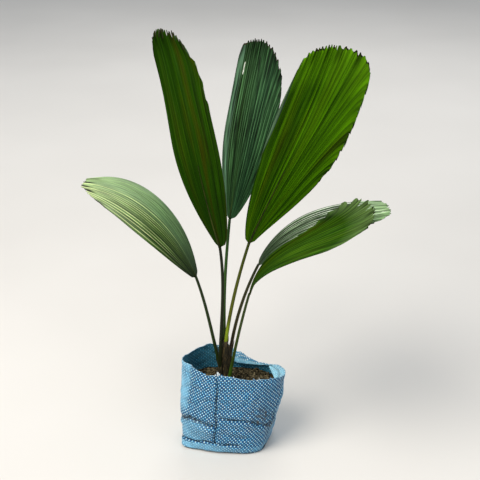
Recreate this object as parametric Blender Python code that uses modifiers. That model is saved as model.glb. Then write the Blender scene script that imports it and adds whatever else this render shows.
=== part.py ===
"""A young ruffled fan palm in a woven grow bag.

Units are metres with +Z up. The origin is at the middle of the bag's flat underside,
+X runs along the bag's long side and +Y to its back. The palm has a short sheathed stem
and six leaves, each a petiole and one undivided, pleated blade with a toothed end.
"""

import math
import random

import bmesh
import bpy
from mathutils import Matrix, Vector

MM = 0.001
UP = Vector((0, 0, 1))
SHARP_ANGLE = math.radians(40)
GAP = 0.3 * MM
TILTED_GAP = 0.7 * MM  # where a cap meets its neighbour at a slant

# Grow bag: a flattened tube of woven tape, sewn flat below, cut open above
BAG_SHEET = 1.3 * MM
BAG_FOOT = {"centre": -2 * MM, "half_length": 66 * MM, "half_depth": 47 * MM, "squareness": 3.4}
BAG_RIM = {"centre": 8 * MM, "half_length": 75 * MM, "half_depth": 50 * MM, "squareness": 2.0}
BAG_FOOT_TURN = math.radians(-9)
BAG_BELLY = 2 * MM
BAG_EDGE_TUCK = 4.5 * MM
BAG_EDGE_HEIGHT = 8 * MM
# The cut rim, as heights in millimetres at degrees round from +X: high at the left, low at
# the back right, where the sheet is folded in as a flap
RIM_STATIONS = (
    (0, 112), (25, 108), (50, 102), (75, 113), (104, 127), (132, 134), (180, 134),
    (211, 142), (246, 139), (279, 132), (313, 124), (336, 119), (360, 112),
)
FLAP_START = math.radians(28)
FLAP_END = math.radians(116)
FLAP_WIDTH = 17 * MM
FLAP_FULLNESS = 0.6  # how soon the flap reaches its full width; 1 would be a plain arch
FLAP_HUMP = 2 * MM  # the fold stands this much over the rim
FLAP_DROP = 0.55  # fall of the free edge for each unit of width
FLAP_ROWS = 3
BAG_ROUND = 48
BAG_EDGE_ROWS = (0.0, 0.25, 0.6, 1.0)  # shares of the rounded edge at the foot
BAG_WALL_ROWS = 6

# Soil in the bag
SOIL_LEVEL = 90 * MM
SOIL_HOLLOW = 2.5 * MM
SOIL_CRUMB = 1 * MM
SOIL_SIDE_GAP = 0.9 * MM
SOIL_FLOOR_INSET = 2 * MM
SOIL_WALL_ROWS = 4
SOIL_RINGS = 5
SOIL_FLAT_RADIUS = 15 * MM
SOIL_SEED = 5

# Stem: height above the soil against radius, from the flat cut and its flare up to the tip
STEM_PLACE = Vector((-4 * MM, 0, SOIL_LEVEL + GAP))
STEM_HEIGHT = 66 * MM
STEM_PROFILE = ((0, 9.6), (3, 8.3), (10, 7.0), (25, 6.3), (45, 5.9), (63, 5.6), (66, 5.2))
STEM_SIDES = 20

# Leaves: what all six have in common
PETIOLE_FOOT_RADIUS = 2.5 * MM
PETIOLE_NECK_RADIUS = 1.8 * MM
PETIOLE_STEPS = 12
PETIOLE_ROUNDING = 2
PETIOLE_HANDLE = 1 / 3  # length of each curve handle for each unit between the ends
TEETH = 22
TOOTH_DEPTH = 4.5 * MM
PLEAT_DEPTH = 0.9 * MM
PLEATS_FULL_AT = 0.35
SWELL_POWER = 0.9
BLADE_ROWS = 7
BLADE_THICKNESS_SHARE = 1 / 95
BASE_WIDTH_SHARE = 0.085
END_ROUNDNESS = 2.2
SPINE_STEPS = 32
SECTION_STEPS = 24

# Each leaf's own sizes, in millimetres and degrees. A lean is measured from upright and an
# azimuth from +X. A turn rolls the blade about its spine. Pairs are left and right half
# seen from the upper side, or neck and tip; threes are neck, middle and tip.
LEAVES = {
    "left_low": {
        "foot": {"height": 27, "side": 150, "way": 183, "lean": 13},
        "neck": (-45, 1, 266),
        "length": 204, "width": 123, "widest_at": 0.90, "end_width": 0.88,
        "shoulders": (0.86, 0.88), "leans": (27, 50, 80), "azimuths": (166, 165),
        "turns": (4, -19), "folds": (6, 12), "cups": (-8, -2),
    },
    "left_tall": {
        "foot": {"height": 22, "side": 206, "way": 180, "lean": 0},
        "neck": (-11, -10, 317),
        "length": 314, "width": 102, "widest_at": 0.71, "end_width": 0.88,
        "shoulders": (0.90, 0.66), "leans": (12, 12, 15), "azimuths": (205, 200),
        "turns": (-39, -23), "folds": (-5, 7), "cups": (-12, 8),
    },
    "rear": {
        "foot": {"top": (-1.5, 2.9), "way": 130, "lean": 4},
        "neck": (2, 48, 333),
        "length": 256, "width": 88, "widest_at": 0.86, "end_width": 0.93,
        "shoulders": (0.78, 0.77), "leans": (25, 30, 31), "azimuths": (62, 73),
        "turns": (12, 14), "folds": (2, 2), "cups": (-1, -1),
    },
    "right_tall": {
        "foot": {"top": (-0.5, -2.9), "way": -10, "lean": 6},
        "neck": (29, -1, 319),
        "length": 306, "width": 109, "widest_at": 0.82, "end_width": 0.94,
        "shoulders": (0.78, 0.89), "leans": (24, 32, 14), "azimuths": (-22, -22),
        "turns": (50, 49), "folds": (0, 2), "cups": (3, -7),
    },
    "right_low_rear": {
        "foot": {"height": 38, "side": 55, "way": 30, "lean": 6},
        "neck": (43, 34, 269),
        "length": 206, "width": 91, "widest_at": 0.80, "end_width": 0.90,
        "shoulders": (0.76, 0.75), "leans": (42, 78, 90), "azimuths": (-2, 26),
        "turns": (-16, -4), "folds": (-6, 11), "cups": (-6, 9),
    },
    "right_low_front": {
        "foot": {"height": 6, "side": 286, "way": -5, "lean": 9},
        "neck": (29, -20, 250),
        "length": 221, "width": 105, "widest_at": 0.90, "end_width": 0.88,
        "shoulders": (0.88, 0.79), "leans": (27, 56, 71), "azimuths": (-9, -4),
        "turns": (-4, -16), "folds": (2, 4), "cups": (-20, 1),
    },
}

# Colours as linear red, green, blue
BLADE_GREEN = (0.035, 0.105, 0.022)
PETIOLE_GREEN = (0.045, 0.085, 0.018)
STEM_BROWN = (0.075, 0.045, 0.022)
BAG_BLUE = (0.085, 0.33, 0.53)
SOIL_BROWN = (0.085, 0.036, 0.016)


def clear_scene():
    for old in list(bpy.data.objects):
        bpy.data.objects.remove(old, do_unlink=True)


def material(name, colour, roughness):
    finish = bpy.data.materials.new(name)
    finish.use_nodes = True
    shader = finish.node_tree.nodes["Principled BSDF"]
    shader.inputs["Base Color"].default_value = (*colour, 1)
    shader.inputs["Roughness"].default_value = roughness
    shader.inputs["Metallic"].default_value = 0
    return finish


def add_object(name, data, finish, place=(0, 0, 0)):
    """An object of the palm's collection, standing at place and held by the root empty"""
    data.materials.append(finish)
    obj = bpy.data.objects.new(name, data)
    obj.location = place
    obj.parent = root
    palm.objects.link(obj)
    return obj


def mesh_of(name, bm):
    mesh = bpy.data.meshes.new(name)
    bmesh.ops.recalc_face_normals(bm, faces=bm.faces)
    bm.to_mesh(mesh)
    bm.free()
    mesh.shade_smooth()
    mesh.set_sharp_from_angle(angle=SHARP_ANGLE)
    return mesh


def smooth_step(x):
    x = min(max(x, 0.0), 1.0)
    return x * x * (3 - 2 * x)


def blend(a, b, share):
    return a + (b - a) * share


def direction(azimuth, lean):
    """Unit vector that leans from upright towards azimuth, both in radians"""
    return Vector((math.sin(lean) * math.cos(azimuth), math.sin(lean) * math.sin(azimuth), math.cos(lean)))


# Grow bag


def rim_height(angle):
    """Height of the bag's upper edge, running smoothly from station to station"""
    around = math.degrees(angle) % 360
    for (start, low), (end, high) in zip(RIM_STATIONS, RIM_STATIONS[1:]):
        if around <= end:
            return blend(low, high, smooth_step((around - start) / (end - start))) * MM
    return RIM_STATIONS[0][1] * MM


def bag_section(angle, share, inset=0.0):
    """Point of the bag's outline at share of its height, as x and y"""
    size = {key: blend(BAG_FOOT[key], BAG_RIM[key], share) for key in BAG_FOOT}
    belly = BAG_BELLY * math.sin(math.pi * share)
    c = math.cos(angle)
    s = math.sin(angle)
    round_off = (abs(c) ** size["squareness"] + abs(s) ** size["squareness"]) ** (-1 / size["squareness"])
    x = (size["half_length"] + belly - inset) * round_off * c
    y = (size["half_depth"] + belly - inset) * round_off * s
    turn = BAG_FOOT_TURN * (1 - share)
    return Vector(
        (size["centre"] + x * math.cos(turn) - y * math.sin(turn), x * math.sin(turn) + y * math.cos(turn), 0)
    )


def bag_point(angle, height, inset=0.0):
    """Point of the bag's outer sheet; the sheet tucks in round its bottom edge"""
    share = height / rim_height(angle)
    rise = min(height / BAG_EDGE_HEIGHT, 1)
    tuck = BAG_EDGE_TUCK * (1 - math.sqrt(max(1 - (1 - rise) ** 2, 0)))
    return bag_section(angle, share, inset + tuck) + UP * height


def flap_width(angle):
    """How far the sheet is folded in over the rim at this angle, 0 where it isn't"""
    share = (angle - FLAP_START) / (FLAP_END - FLAP_START)
    if not 0 < share < 1:
        return 0.0
    return FLAP_WIDTH * math.sin(math.pi * share) ** FLAP_FULLNESS


def flap_point(angle, share):
    """Point of the folded-in flap, from the rim at share 0 to its free edge at share 1"""
    rim = bag_point(angle, rim_height(angle))
    inward = (Vector((BAG_RIM["centre"], 0, 0)) - Vector((rim.x, rim.y, 0))).normalized()
    reach = flap_width(angle) * share
    hump = FLAP_HUMP * flap_width(angle) / FLAP_WIDTH * math.sin(math.pi * share)
    return rim + inward * reach + UP * (hump - FLAP_DROP * reach * share)


def add_grow_bag():
    bm = bmesh.new()
    angles = [math.tau * i / BAG_ROUND for i in range(BAG_ROUND)]
    rows = []
    for share in BAG_EDGE_ROWS:
        rows.append([bm.verts.new(bag_point(a, BAG_EDGE_HEIGHT * share)) for a in angles])
    for row in range(1, BAG_WALL_ROWS + 1):
        share = row / BAG_WALL_ROWS
        rows.append([bm.verts.new(bag_point(a, blend(BAG_EDGE_HEIGHT, rim_height(a), share))) for a in angles])
    bm.faces.new(list(reversed(rows[0])))
    for lower, upper in zip(rows, rows[1:]):
        for i in range(BAG_ROUND):
            j = (i + 1) % BAG_ROUND
            bm.faces.new((lower[i], lower[j], upper[j], upper[i]))
    folded = [i for i, angle in enumerate(angles) if flap_width(angle) > 0]
    rim = rows[-1]
    previous = {i: rim[i] for i in (folded[0] - 1, *folded, folded[-1] + 1)}
    for row in range(1, FLAP_ROWS + 1):
        current = dict(previous)
        for i in folded:
            current[i] = bm.verts.new(flap_point(angles[i], row / FLAP_ROWS))
        for i in range(folded[0] - 1, folded[-1] + 1):
            corners = []
            for corner in (previous[i], previous[i + 1], current[i + 1], current[i]):
                if corner not in corners:
                    corners.append(corner)
            bm.faces.new(corners)
        previous = current
    bag = add_object("grow_bag", mesh_of("grow_bag", bm), material("woven tape", BAG_BLUE, 0.5))
    sheet = bag.modifiers.new("sheet thickness", "SOLIDIFY")
    sheet.thickness = BAG_SHEET
    sheet.offset = -1


# Soil


def add_soil():
    bm = bmesh.new()
    chance = random.Random(SOIL_SEED)
    angles = [math.tau * i / BAG_ROUND for i in range(BAG_ROUND)]
    inset = BAG_SHEET + SOIL_SIDE_GAP
    floor = BAG_SHEET + GAP
    edge = SOIL_LEVEL - SOIL_HOLLOW
    heights = [blend(floor, BAG_EDGE_HEIGHT, share) for share in BAG_EDGE_ROWS]
    heights += [blend(BAG_EDGE_HEIGHT, edge, (row + 1) / SOIL_WALL_ROWS) for row in range(SOIL_WALL_ROWS)]
    insets = [inset + SOIL_FLOOR_INSET * max(1 - h / BAG_EDGE_HEIGHT, 0) for h in heights]
    rings = [[bm.verts.new(bag_point(a, *spot)) for a in angles] for spot in zip(heights, insets)]
    middle = STEM_PLACE.xy.to_3d()
    for ring in range(1, SOIL_RINGS + 1):
        verts = []
        for i, angle in enumerate(angles):
            side = bag_point(angle, edge, inset)
            flat = middle + Vector((math.cos(angle), math.sin(angle), 0)) * SOIL_FLAT_RADIUS
            spot = side.lerp(flat + UP * SOIL_LEVEL, ring / SOIL_RINGS)
            if ring < SOIL_RINGS:
                spot.z = SOIL_LEVEL + chance.uniform(-SOIL_HOLLOW, SOIL_CRUMB)
            verts.append(bm.verts.new(spot))
        rings.append(verts)
    bm.faces.new(list(reversed(rings[0])))
    bm.faces.new(rings[-1])
    for lower, upper in zip(rings, rings[1:]):
        for i in range(BAG_ROUND):
            j = (i + 1) % BAG_ROUND
            bm.faces.new((lower[i], lower[j], upper[j], upper[i]))
    add_object("soil", mesh_of("soil", bm), material("red soil", SOIL_BROWN, 0.95))


# Stem


def stem_radius(height):
    """Radius of the stem at a height above its cut, read off its profile"""
    for (low, wide), (high, narrow) in zip(STEM_PROFILE, STEM_PROFILE[1:]):
        if height <= high * MM:
            return blend(wide, narrow, (height / MM - low) / (high - low)) * MM
    return STEM_PROFILE[-1][1] * MM


def add_stem():
    """The profile runs down the outer side, so that the turned faces point out"""
    outline = [(0, STEM_HEIGHT)]
    outline += [(radius * MM, height * MM) for height, radius in reversed(STEM_PROFILE)]
    outline += [(0, 0)]
    mesh = bpy.data.meshes.new("stem")
    edges = [(i, i + 1) for i in range(len(outline) - 1)]
    mesh.from_pydata([(x, 0, z) for x, z in outline], edges, [])
    stem = add_object("stem", mesh, material("sheathed stem", STEM_BROWN, 0.85), STEM_PLACE)
    turn = stem.modifiers.new("turned", "SCREW")
    turn.steps = STEM_SIDES
    turn.render_steps = STEM_SIDES
    turn.use_merge_vertices = True
    turn.merge_threshold = MM / 100
    turn.use_smooth_shade = True


# Leaves


def petiole_foot(leaf):
    """Where a petiole starts: beside the stem, or on its flat tip for the two inner leaves"""
    foot = leaf["foot"]
    if "top" in foot:
        x, y = foot["top"]
        return STEM_PLACE + Vector((x * MM, y * MM, STEM_HEIGHT + TILTED_GAP))
    height = foot["height"] * MM
    side = math.radians(foot["side"])
    away = stem_radius(height) + GAP + PETIOLE_FOOT_RADIUS
    return STEM_PLACE + Vector((math.cos(side) * away, math.sin(side) * away, height))


def neck_of(leaf):
    return Vector(leaf["neck"]) * MM


def neck_direction(leaf):
    return direction(math.radians(leaf["azimuths"][0]), math.radians(leaf["leans"][0]))


def add_petiole(name, leaf):
    """One tapering curve that leaves the stem upright and runs on into the blade's spine"""
    foot = petiole_foot(leaf)
    end = neck_of(leaf) - neck_direction(leaf) * TILTED_GAP
    hold = (end - foot).length * PETIOLE_HANDLE
    start_way = direction(math.radians(leaf["foot"]["way"]), math.radians(leaf["foot"]["lean"]))
    end_way = ((end - foot).normalized() + neck_direction(leaf)).normalized()
    curve = bpy.data.curves.new(name, "CURVE")
    curve.dimensions = "3D"
    curve.bevel_depth = PETIOLE_FOOT_RADIUS
    curve.bevel_resolution = PETIOLE_ROUNDING
    curve.use_fill_caps = True
    spline = curve.splines.new("BEZIER")
    spline.bezier_points.add(1)
    spline.resolution_u = PETIOLE_STEPS
    ends = (
        (Vector(), start_way, 1.0),
        (end - foot, end_way, PETIOLE_NECK_RADIUS / PETIOLE_FOOT_RADIUS),
    )
    for point, (spot, way, radius) in zip(spline.bezier_points, ends):
        point.co = spot
        point.handle_left = spot - way * hold
        point.handle_right = spot + way * hold
        point.radius = radius
    add_object("petiole_" + name, curve, material("petiole " + name, PETIOLE_GREEN, 0.45), foot)


def spine_of(leaf):
    """Points along the blade's middle rib, with the side and upper directions at each"""
    length = leaf["length"] * MM
    first_lean, middle_lean, last_lean = (math.radians(x) for x in leaf["leans"])
    first_way, last_way = (math.radians(x) for x in leaf["azimuths"])
    first_turn, last_turn = (math.radians(x) for x in leaf["turns"])
    spot = Vector()
    spine = []
    for step in range(SPINE_STEPS + 1):
        share = step / SPINE_STEPS
        lean = (1 - share) ** 2 * first_lean + 2 * share * (1 - share) * middle_lean + share**2 * last_lean
        way = direction(blend(first_way, last_way, share), lean)
        side = way.cross(UP).normalized()
        turn = Matrix.Rotation(-blend(first_turn, last_turn, share), 3, way)
        upper = side.cross(way)
        spine.append((spot.copy(), turn @ side, turn @ upper))
        spot += way * (length / SPINE_STEPS)
    return spine


def on_spine(spine, share):
    """Spine point, side and upper direction at share of the length, between two steps"""
    place = min(max(share, 0) * SPINE_STEPS, SPINE_STEPS - 1e-6)
    step = int(place)
    return tuple(a.lerp(b, place - step) for a, b in zip(spine[step], spine[step + 1]))


def across(half, fold, cup):
    """Sideways and upward run of the cross-section at half, a share of the half width"""
    run = rise = 0.0
    for step in range(SECTION_STEPS):
        angle = math.radians(fold + cup * half * (step + 0.5) / SECTION_STEPS)
        run += math.cos(angle) * half / SECTION_STEPS
        rise += math.sin(angle) * half / SECTION_STEPS
    return run, rise


def half_width(leaf, share):
    """Half the blade's width at share of its length: narrow at the neck, widest near the end"""
    if share < leaf["widest_at"]:
        swell = math.sin(share / leaf["widest_at"] * math.pi / 2) ** SWELL_POWER
        width = blend(BASE_WIDTH_SHARE, 1, swell)
    else:
        past = (share - leaf["widest_at"]) / (1 - leaf["widest_at"])
        width = 1 - (1 - leaf["end_width"]) * past**2
    return leaf["width"] * MM / 2 * width


def rib_reach(leaf, side):
    """Length of the rib at side, -1 to 1 across the blade, as a share of the blade's length"""
    shoulder = leaf["shoulders"][0 if side < 0 else 1]
    rounding = max(1 - abs(side) ** END_ROUNDNESS, 0) ** (1 / END_ROUNDNESS)
    return blend(shoulder, 1, rounding)


def add_blade(name, leaf):
    """A grid whose columns are the ribs: every second one is a fold and ends in a notch"""
    length = leaf["length"] * MM
    spine = spine_of(leaf)
    columns = 2 * TEETH
    bm = bmesh.new()
    bmesh.ops.create_grid(bm, x_segments=columns, y_segments=BLADE_ROWS, size=1)
    for vert in bm.verts:
        side = vert.co.x
        share = (vert.co.y + 1) / 2
        column = round((side + 1) / 2 * columns)
        notched = column % 2 == 1
        reach = rib_reach(leaf, side) - (TOOTH_DEPTH / length if notched else 0)
        spot, across_way, upper_way = on_spine(spine, share * reach)
        half = half_width(leaf, share)
        run, rise = across(abs(side), *(leaf[key][0 if side < 0 else 1] for key in ("folds", "cups")))
        pleat = PLEAT_DEPTH * smooth_step(share / PLEATS_FULL_AT) * (-1 if notched else 1)
        vert.co = spot + across_way * math.copysign(run * half, side) + upper_way * (rise * half + pleat)
    blade = add_object("blade_" + name, mesh_of(name, bm), material("blade " + name, BLADE_GREEN, 0.4), neck_of(leaf))
    sheet = blade.modifiers.new("leaf thickness", "SOLIDIFY")
    sheet.thickness = length * BLADE_THICKNESS_SHARE
    sheet.offset = 0


clear_scene()
palm = bpy.data.collections.new("Potted ruffled fan palm")
bpy.context.scene.collection.children.link(palm)
root = bpy.data.objects.new("palm_root", None)
palm.objects.link(root)

add_grow_bag()
add_soil()
add_stem()
for leaf_name, leaf_sizes in LEAVES.items():
    add_petiole(leaf_name, leaf_sizes)
    add_blade(leaf_name, leaf_sizes)
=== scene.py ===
"""A young ruffled fan palm in a woven grow bag: its looks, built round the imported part.

Everything is in metres, in the part's own frame: +Z up, the origin at the middle of the bag's
flat underside, +X along the bag's long side and +Y to its back.
"""

import math
from functools import partial
from itertools import repeat

import bmesh
import bpy
import numpy as np
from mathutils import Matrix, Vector


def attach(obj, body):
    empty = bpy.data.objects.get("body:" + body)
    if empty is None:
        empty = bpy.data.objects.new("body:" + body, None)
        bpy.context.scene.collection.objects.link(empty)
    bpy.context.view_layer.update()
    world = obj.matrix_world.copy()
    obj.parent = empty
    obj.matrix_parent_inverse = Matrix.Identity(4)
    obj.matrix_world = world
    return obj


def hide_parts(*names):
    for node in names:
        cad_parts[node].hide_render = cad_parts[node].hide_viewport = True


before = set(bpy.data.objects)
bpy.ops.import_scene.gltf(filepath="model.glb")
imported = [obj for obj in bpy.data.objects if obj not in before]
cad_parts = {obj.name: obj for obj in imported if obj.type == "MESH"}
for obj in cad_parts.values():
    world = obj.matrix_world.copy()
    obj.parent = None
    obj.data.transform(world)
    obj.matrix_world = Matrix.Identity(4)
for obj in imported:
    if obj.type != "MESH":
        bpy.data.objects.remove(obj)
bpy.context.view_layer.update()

# Grow bag
# A flattened tube of woven polypropylene tape, sewn flat across the foot and cut open above.
# Blue and white tapes cross one over one, which gives the eye a fine check. The soil's weight
# has set creases and bulges in it, and its right end is folded in at the rim.

MM = 0.001
UP = np.array((0, 0, 1.0))
BAG_FOOT = {"centre": -2 * MM, "half_length": 66 * MM, "half_depth": 47 * MM, "squareness": 3.4}
BAG_RIM = {"centre": 8 * MM, "half_length": 75 * MM, "half_depth": 50 * MM, "squareness": 2.0}
BAG_FOOT_TURN = math.radians(-9)
BAG_BELLY = 2 * MM
BAG_EDGE_TUCK = 4.5 * MM
BAG_EDGE_HEIGHT = 8 * MM
RIM_STATIONS = np.array((
    (0, 111), (25, 108), (50, 102), (60, 101.5), (72, 107.5), (84, 114), (96, 122.5), (108, 128),
    (120, 133), (132, 130.5), (156, 131), (168, 133.5), (180, 135), (192, 137), (211, 140),
    (222, 138), (228, 136.5), (240, 132.5), (252, 135.5), (264, 134), (279, 130), (288, 127.5),
    (300, 125.5), (313, 122.5), (324, 119.5), (336, 115.7), (348, 112.5), (360, 111),
), float)  # degrees round from +X against the rim's height in millimetres
FLAP_STATIONS = np.array((
    (0, 0), (26, 0), (32, 2.5), (46, 3), (60, 5.5), (72, 11), (84, 16.5), (98, 19), (106, 12),
    (111, 0), (360, 0),
), float)  # degrees round against the width of the folded-in flap in millimetres
FLAP_WIDEST = 19 * MM
FLAP_HUMP = 2 * MM
FLAP_DROP = 0.5
FLAP_WAVE = 0.8 * MM

TAPE = 2.75 * MM  # width of one tape, and so the weave's pitch
TAPE_STEPS = 2  # faces across one tape
TAPE_CROWN = 0.16 * MM  # how far a tape bows out over the one that it crosses
SHEET = 0.7 * MM  # the tape is about 0.2 mm thick; drawn thicker, so that the rim shows
RAGGED_RIM = 0.25 * MM  # how unevenly the tapes are cut
INNER_WALL_FOOT = 80 * MM  # below this the soil hides the inner side
INNER_INSET = 8 * MM  # how far in the hidden lower part of the inner side is kept from the creases
BAG_SEED = 11

# Creases and other marks, in millimetres. A crease has its course as x and height, its width, its
# depth and how dark the painted shade in it is.
SEAM = ((-19.9, 19), (-19.8, 23), (-16.6, 87), (-14.3, 145))
LEFT_CREASE = ((-70, 47), (-65, 50), (-56, 56), (-41, 54.5), (-29.5, 52), (-19, 49))
HEM_LINE = ((-70, 15), (-64, 16), (-49, 17.5), (-18, 21), (-1, 18), (12, 15))
CREASES = (
    (SEAM, 1.3, 2.2, 1.0),
    (LEFT_CREASE, 2.2, 2.0, 0.9),
    (((-11, 64), (3, 63), (16.5, 61.5), (34, 56.6), (42, 52.6), (51, 50), (62, 47)), 1.9, 2.4, 0.85),
    (HEM_LINE, 1.3, 1.8, 1.0),
    (((80, 112), (79, 103), (74, 88), (69, 77)), 1.6, 1.6, 0.5),
    (((66.5, 64), (65.5, 55)), 1.3, 2.6, 1.2),
    (((65.5, 55), (60, 42), (57, 24)), 2.0, 1.2, 0.5),
    (((-53, 140), (-53, 118), (-56, 86), (-59, 62)), 2.5, 1.0, 0.2),
    (((-66, 128), (-57, 126), (-49, 117), (-43, 108)), 1.2, 1.2, 0.3),
    (((-66, 98), (-57, 107), (-46, 108)), 1.7, 1.1, 0.25),
    (((-68, 76), (-58, 86), (-50, 84)), 1.6, 0.8, 0.15),
    (((-60, 76), (-46, 84), (-36, 92), (-24, 95)), 2.2, 0.8, 0.3),
    (((22, 66), (34, 76), (38, 92), (48, 104)), 2.4, 0.8, 0.3),
    (((-12, 40), (2, 36), (14, 30), (30, 29)), 2.2, 0.9, 0.3),
    (((30, 98), (22, 88), (4, 82)), 2.0, 0.7, 0.35),
    (((26, 48), (40, 34), (44, 20)), 2.2, 0.9, 0.25),
)
# Corners that are pushed out or pulled in: degrees round and spread, how far out, the height below
# which, and how soon it is full
CORNERS = ((193, 22, -3.5, 56, 1.6), (340, 30, -7.0, 88, 1.6), (221, 8, 3.5, 18, 1.0))
# A hole in the sheet, drawn only as a dark spot of painted shade
HOLE = (-56, 58)
STAINS = ((48, 66, 13), (61, 50, 9), (66, 40, 10), (40, 56, 7))  # x, height and size


def blend(a, b, share):
    return a + (b - a) * share


def smooth_step(x):
    x = np.clip(x, 0, 1)
    return x * x * (3 - 2 * x)


def bell(x, width):
    """1 at x = 0, falling smoothly away over the width"""
    return np.exp(-((x / width) ** 2))


def unit(way):
    """Directions cut or stretched to a length of 1"""
    return way / np.maximum(np.linalg.norm(way, axis=-1, keepdims=True), 1e-12)


def ripples(spot, size, seed, waves=7):
    """Soft noise of about -1 to 1 at each point: plane waves of about this size in all directions"""
    chance = np.random.default_rng(seed)
    total = 0
    for _ in range(waves):
        way = chance.normal(size=3)
        way *= chance.uniform(0.6, 1.5) * math.tau / size / np.linalg.norm(way)
        total = total + np.sin(spot @ way + chance.uniform(0, math.tau))
    return total / math.sqrt(waves)


def rounded(stations, angle):
    """Value at an angle, running smoothly from station to station"""
    around = np.degrees(angle) % 360
    at, value = stations.T
    i = np.clip(np.searchsorted(at, around) - 1, 0, len(at) - 2)
    return blend(value[i], value[i + 1], smooth_step((around - at[i]) / (at[i + 1] - at[i]))) * MM


def rim_height(angle):
    return rounded(RIM_STATIONS, angle)


def bag_point(angle, height):
    """Points of the bag's outer sheet, which tucks in round its bottom edge"""
    share = height / rim_height(angle)
    size = {key: blend(BAG_FOOT[key], BAG_RIM[key], share) for key in BAG_FOOT}
    rise = np.minimum(height / BAG_EDGE_HEIGHT, 1)
    tuck = BAG_EDGE_TUCK * (1 - np.sqrt(1 - (1 - rise) ** 2))
    belly = BAG_BELLY * np.sin(math.pi * share) - tuck
    c = np.cos(angle)
    s = np.sin(angle)
    power = size["squareness"]
    round_off = (np.abs(c) ** power + np.abs(s) ** power) ** (-1 / power)
    x = (size["half_length"] + belly) * round_off * c
    y = (size["half_depth"] + belly) * round_off * s
    turn = BAG_FOOT_TURN * (1 - share)
    across_bag = size["centre"] + x * np.cos(turn) - y * np.sin(turn)
    return np.stack([across_bag, x * np.sin(turn) + y * np.cos(turn), height + 0 * angle], -1)


def flap_point(angle, share):
    """Points of the folded-in flap, from the rim at share 0 to its free edge at share 1"""
    rim = bag_point(angle, rim_height(angle))
    inward = unit(np.array([BAG_RIM["centre"], 0, 0]) - rim * (1, 1, 0))
    width = rounded(FLAP_STATIONS, angle)
    reach = width * share
    hump = FLAP_HUMP * np.sin(math.pi * share) + FLAP_WAVE * np.sin(9 * angle) * share
    rise = hump * width / FLAP_WIDEST - FLAP_DROP * reach * share
    return rim + inward * reach[..., None] + rise[..., None] * UP


def course_distance(x, z, course):
    """Distance of points from a course of (x, height) places"""
    nearest = np.inf
    for (x0, z0), (x1, z1) in zip(course, course[1:]):
        run, rise = x1 - x0, z1 - z0
        share = np.clip(((x - x0) * run + (z - z0) * rise) / (run * run + rise * rise), 0, 1)
        nearest = np.minimum(nearest, np.hypot(x - x0 - share * run, z - z0 - share * rise))
    return nearest


def crease(spot, angle):
    """How far the filled bag's creases and bulges stand out from its plain shape, in metres; and how
    dark with painted shade, how pale with painted light and how stained brown its sheet is. Sizes
    are millimetres."""
    place = spot / MM
    x, y, z = np.moveaxis(place, -1, 0)
    front = smooth_step((-y - 8) / 18)
    out = 1.1 * ripples(place * (1, 1, 0.7), 60, BAG_SEED)
    out += 0.45 * ripples(place * (1, 1, 1.6), 19, BAG_SEED + 1)
    wander = ripples(place, 26, BAG_SEED + 2)
    broken = 0.8 + 0.5 * ripples(place, 8, BAG_SEED + 3)
    painted_shade = []
    for course, width, depth, shade in CREASES:
        off = course_distance(x + wander, z + wander, course)
        out += front * depth * (0.45 * bell(off - 3.2 * width, 2 * width) - bell(off, width))
        painted_shade.append(shade * broken * bell(off, 0.5 + 0.5 * width))
    # Between the hem and the left crease the sheet bulges; the hem stands out, and is turned at its end
    left = smooth_step((-17 - x) / 9)
    fold, hem = (np.interp(x, *zip(*course)) for course in (LEFT_CREASE, HEM_LINE))
    swell = np.clip((z - hem) / np.maximum(fold - hem, 1), 0, 1)
    bulge = blend(1.6, 3.4, smooth_step(1.4 - (y + 46) / 14))
    out += front * left * bulge * np.sin(math.pi * swell**1.6) ** 0.7
    out += front * smooth_step((14 - x) / 20) * smooth_step((hem - z) / 2.5) * smooth_step(z / 5)
    tucked = (1 - np.minimum(z * MM / BAG_EDGE_HEIGHT, 1)) ** 2 * BAG_EDGE_TUCK / MM
    out += front * smooth_step((-40 - x) / 16) * tucked
    for middle, spread, reach, below, fullness in CORNERS:
        off = (angle - math.radians(middle) + math.pi) % math.tau - math.pi
        out += reach * bell(off, math.radians(spread)) * smooth_step(fullness * (1 - z / below))
    # Painted shade darkens the creases, the hole, a band above the left crease and the low right side,
    # and a painted shadow lies along the foot
    painted_shade.append(1.6 * bell(np.hypot(x - HOLE[0], z - HOLE[1]), 2.2))
    painted_shade.append(0.3 * left * smooth_step((z - fold) / 1.5) * smooth_step((fold + 11 - z) / 10))
    painted_shade.append(0.25 * smooth_step((x - 22) / 45) * smooth_step((130 - z) / 30))
    painted_shade.append(1.1 * broken * smooth_step((4.5 - z) / 2.5))
    # Painted light pales the left facet, the sheet below the left crease, the hem and the right side,
    # and more faintly the back
    pale = np.maximum.reduce([
        0.8 * smooth_step((np.interp(z, (60, 120), (-58, -52)) - x) / 5) * smooth_step((z - 58) / 14),
        0.5 * smooth_step((-20 - x) / 34) * smooth_step((fold - z) / 3) * smooth_step((z - hem) / 2),
        smooth_step((hem - 2 - z) / 3) * np.interp(x, (-60, -20, 0), (1.0, 0.8, 0.3)),
        0.4 * smooth_step((x - np.interp(z, (40, 110), (62, 79))) / 5),
    ])
    seen = smooth_step(-y / 14)
    back = 1 - smooth_step((-y - 6) / 12)
    pale = np.maximum(pale * np.maximum(seen, 0.4), 0.25 * back) * (0.9 + 0.25 * wander)
    brown = [0.55 * left * bell(course_distance(x, z, LEFT_CREASE[:4]), 4)]
    blotched = 0.8 + 0.6 * ripples(place, 7, BAG_SEED + 4)
    for middle, height, size in STAINS:
        brown.append(bell(np.hypot(x - middle, z - height), size) * blotched)
    shade_light_and_stains = [np.maximum.reduce(painted_shade) * seen, pale, np.maximum.reduce(brown) * seen]
    return out * MM, np.clip(np.stack(shade_light_and_stains, -1), 0, 1)


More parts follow.
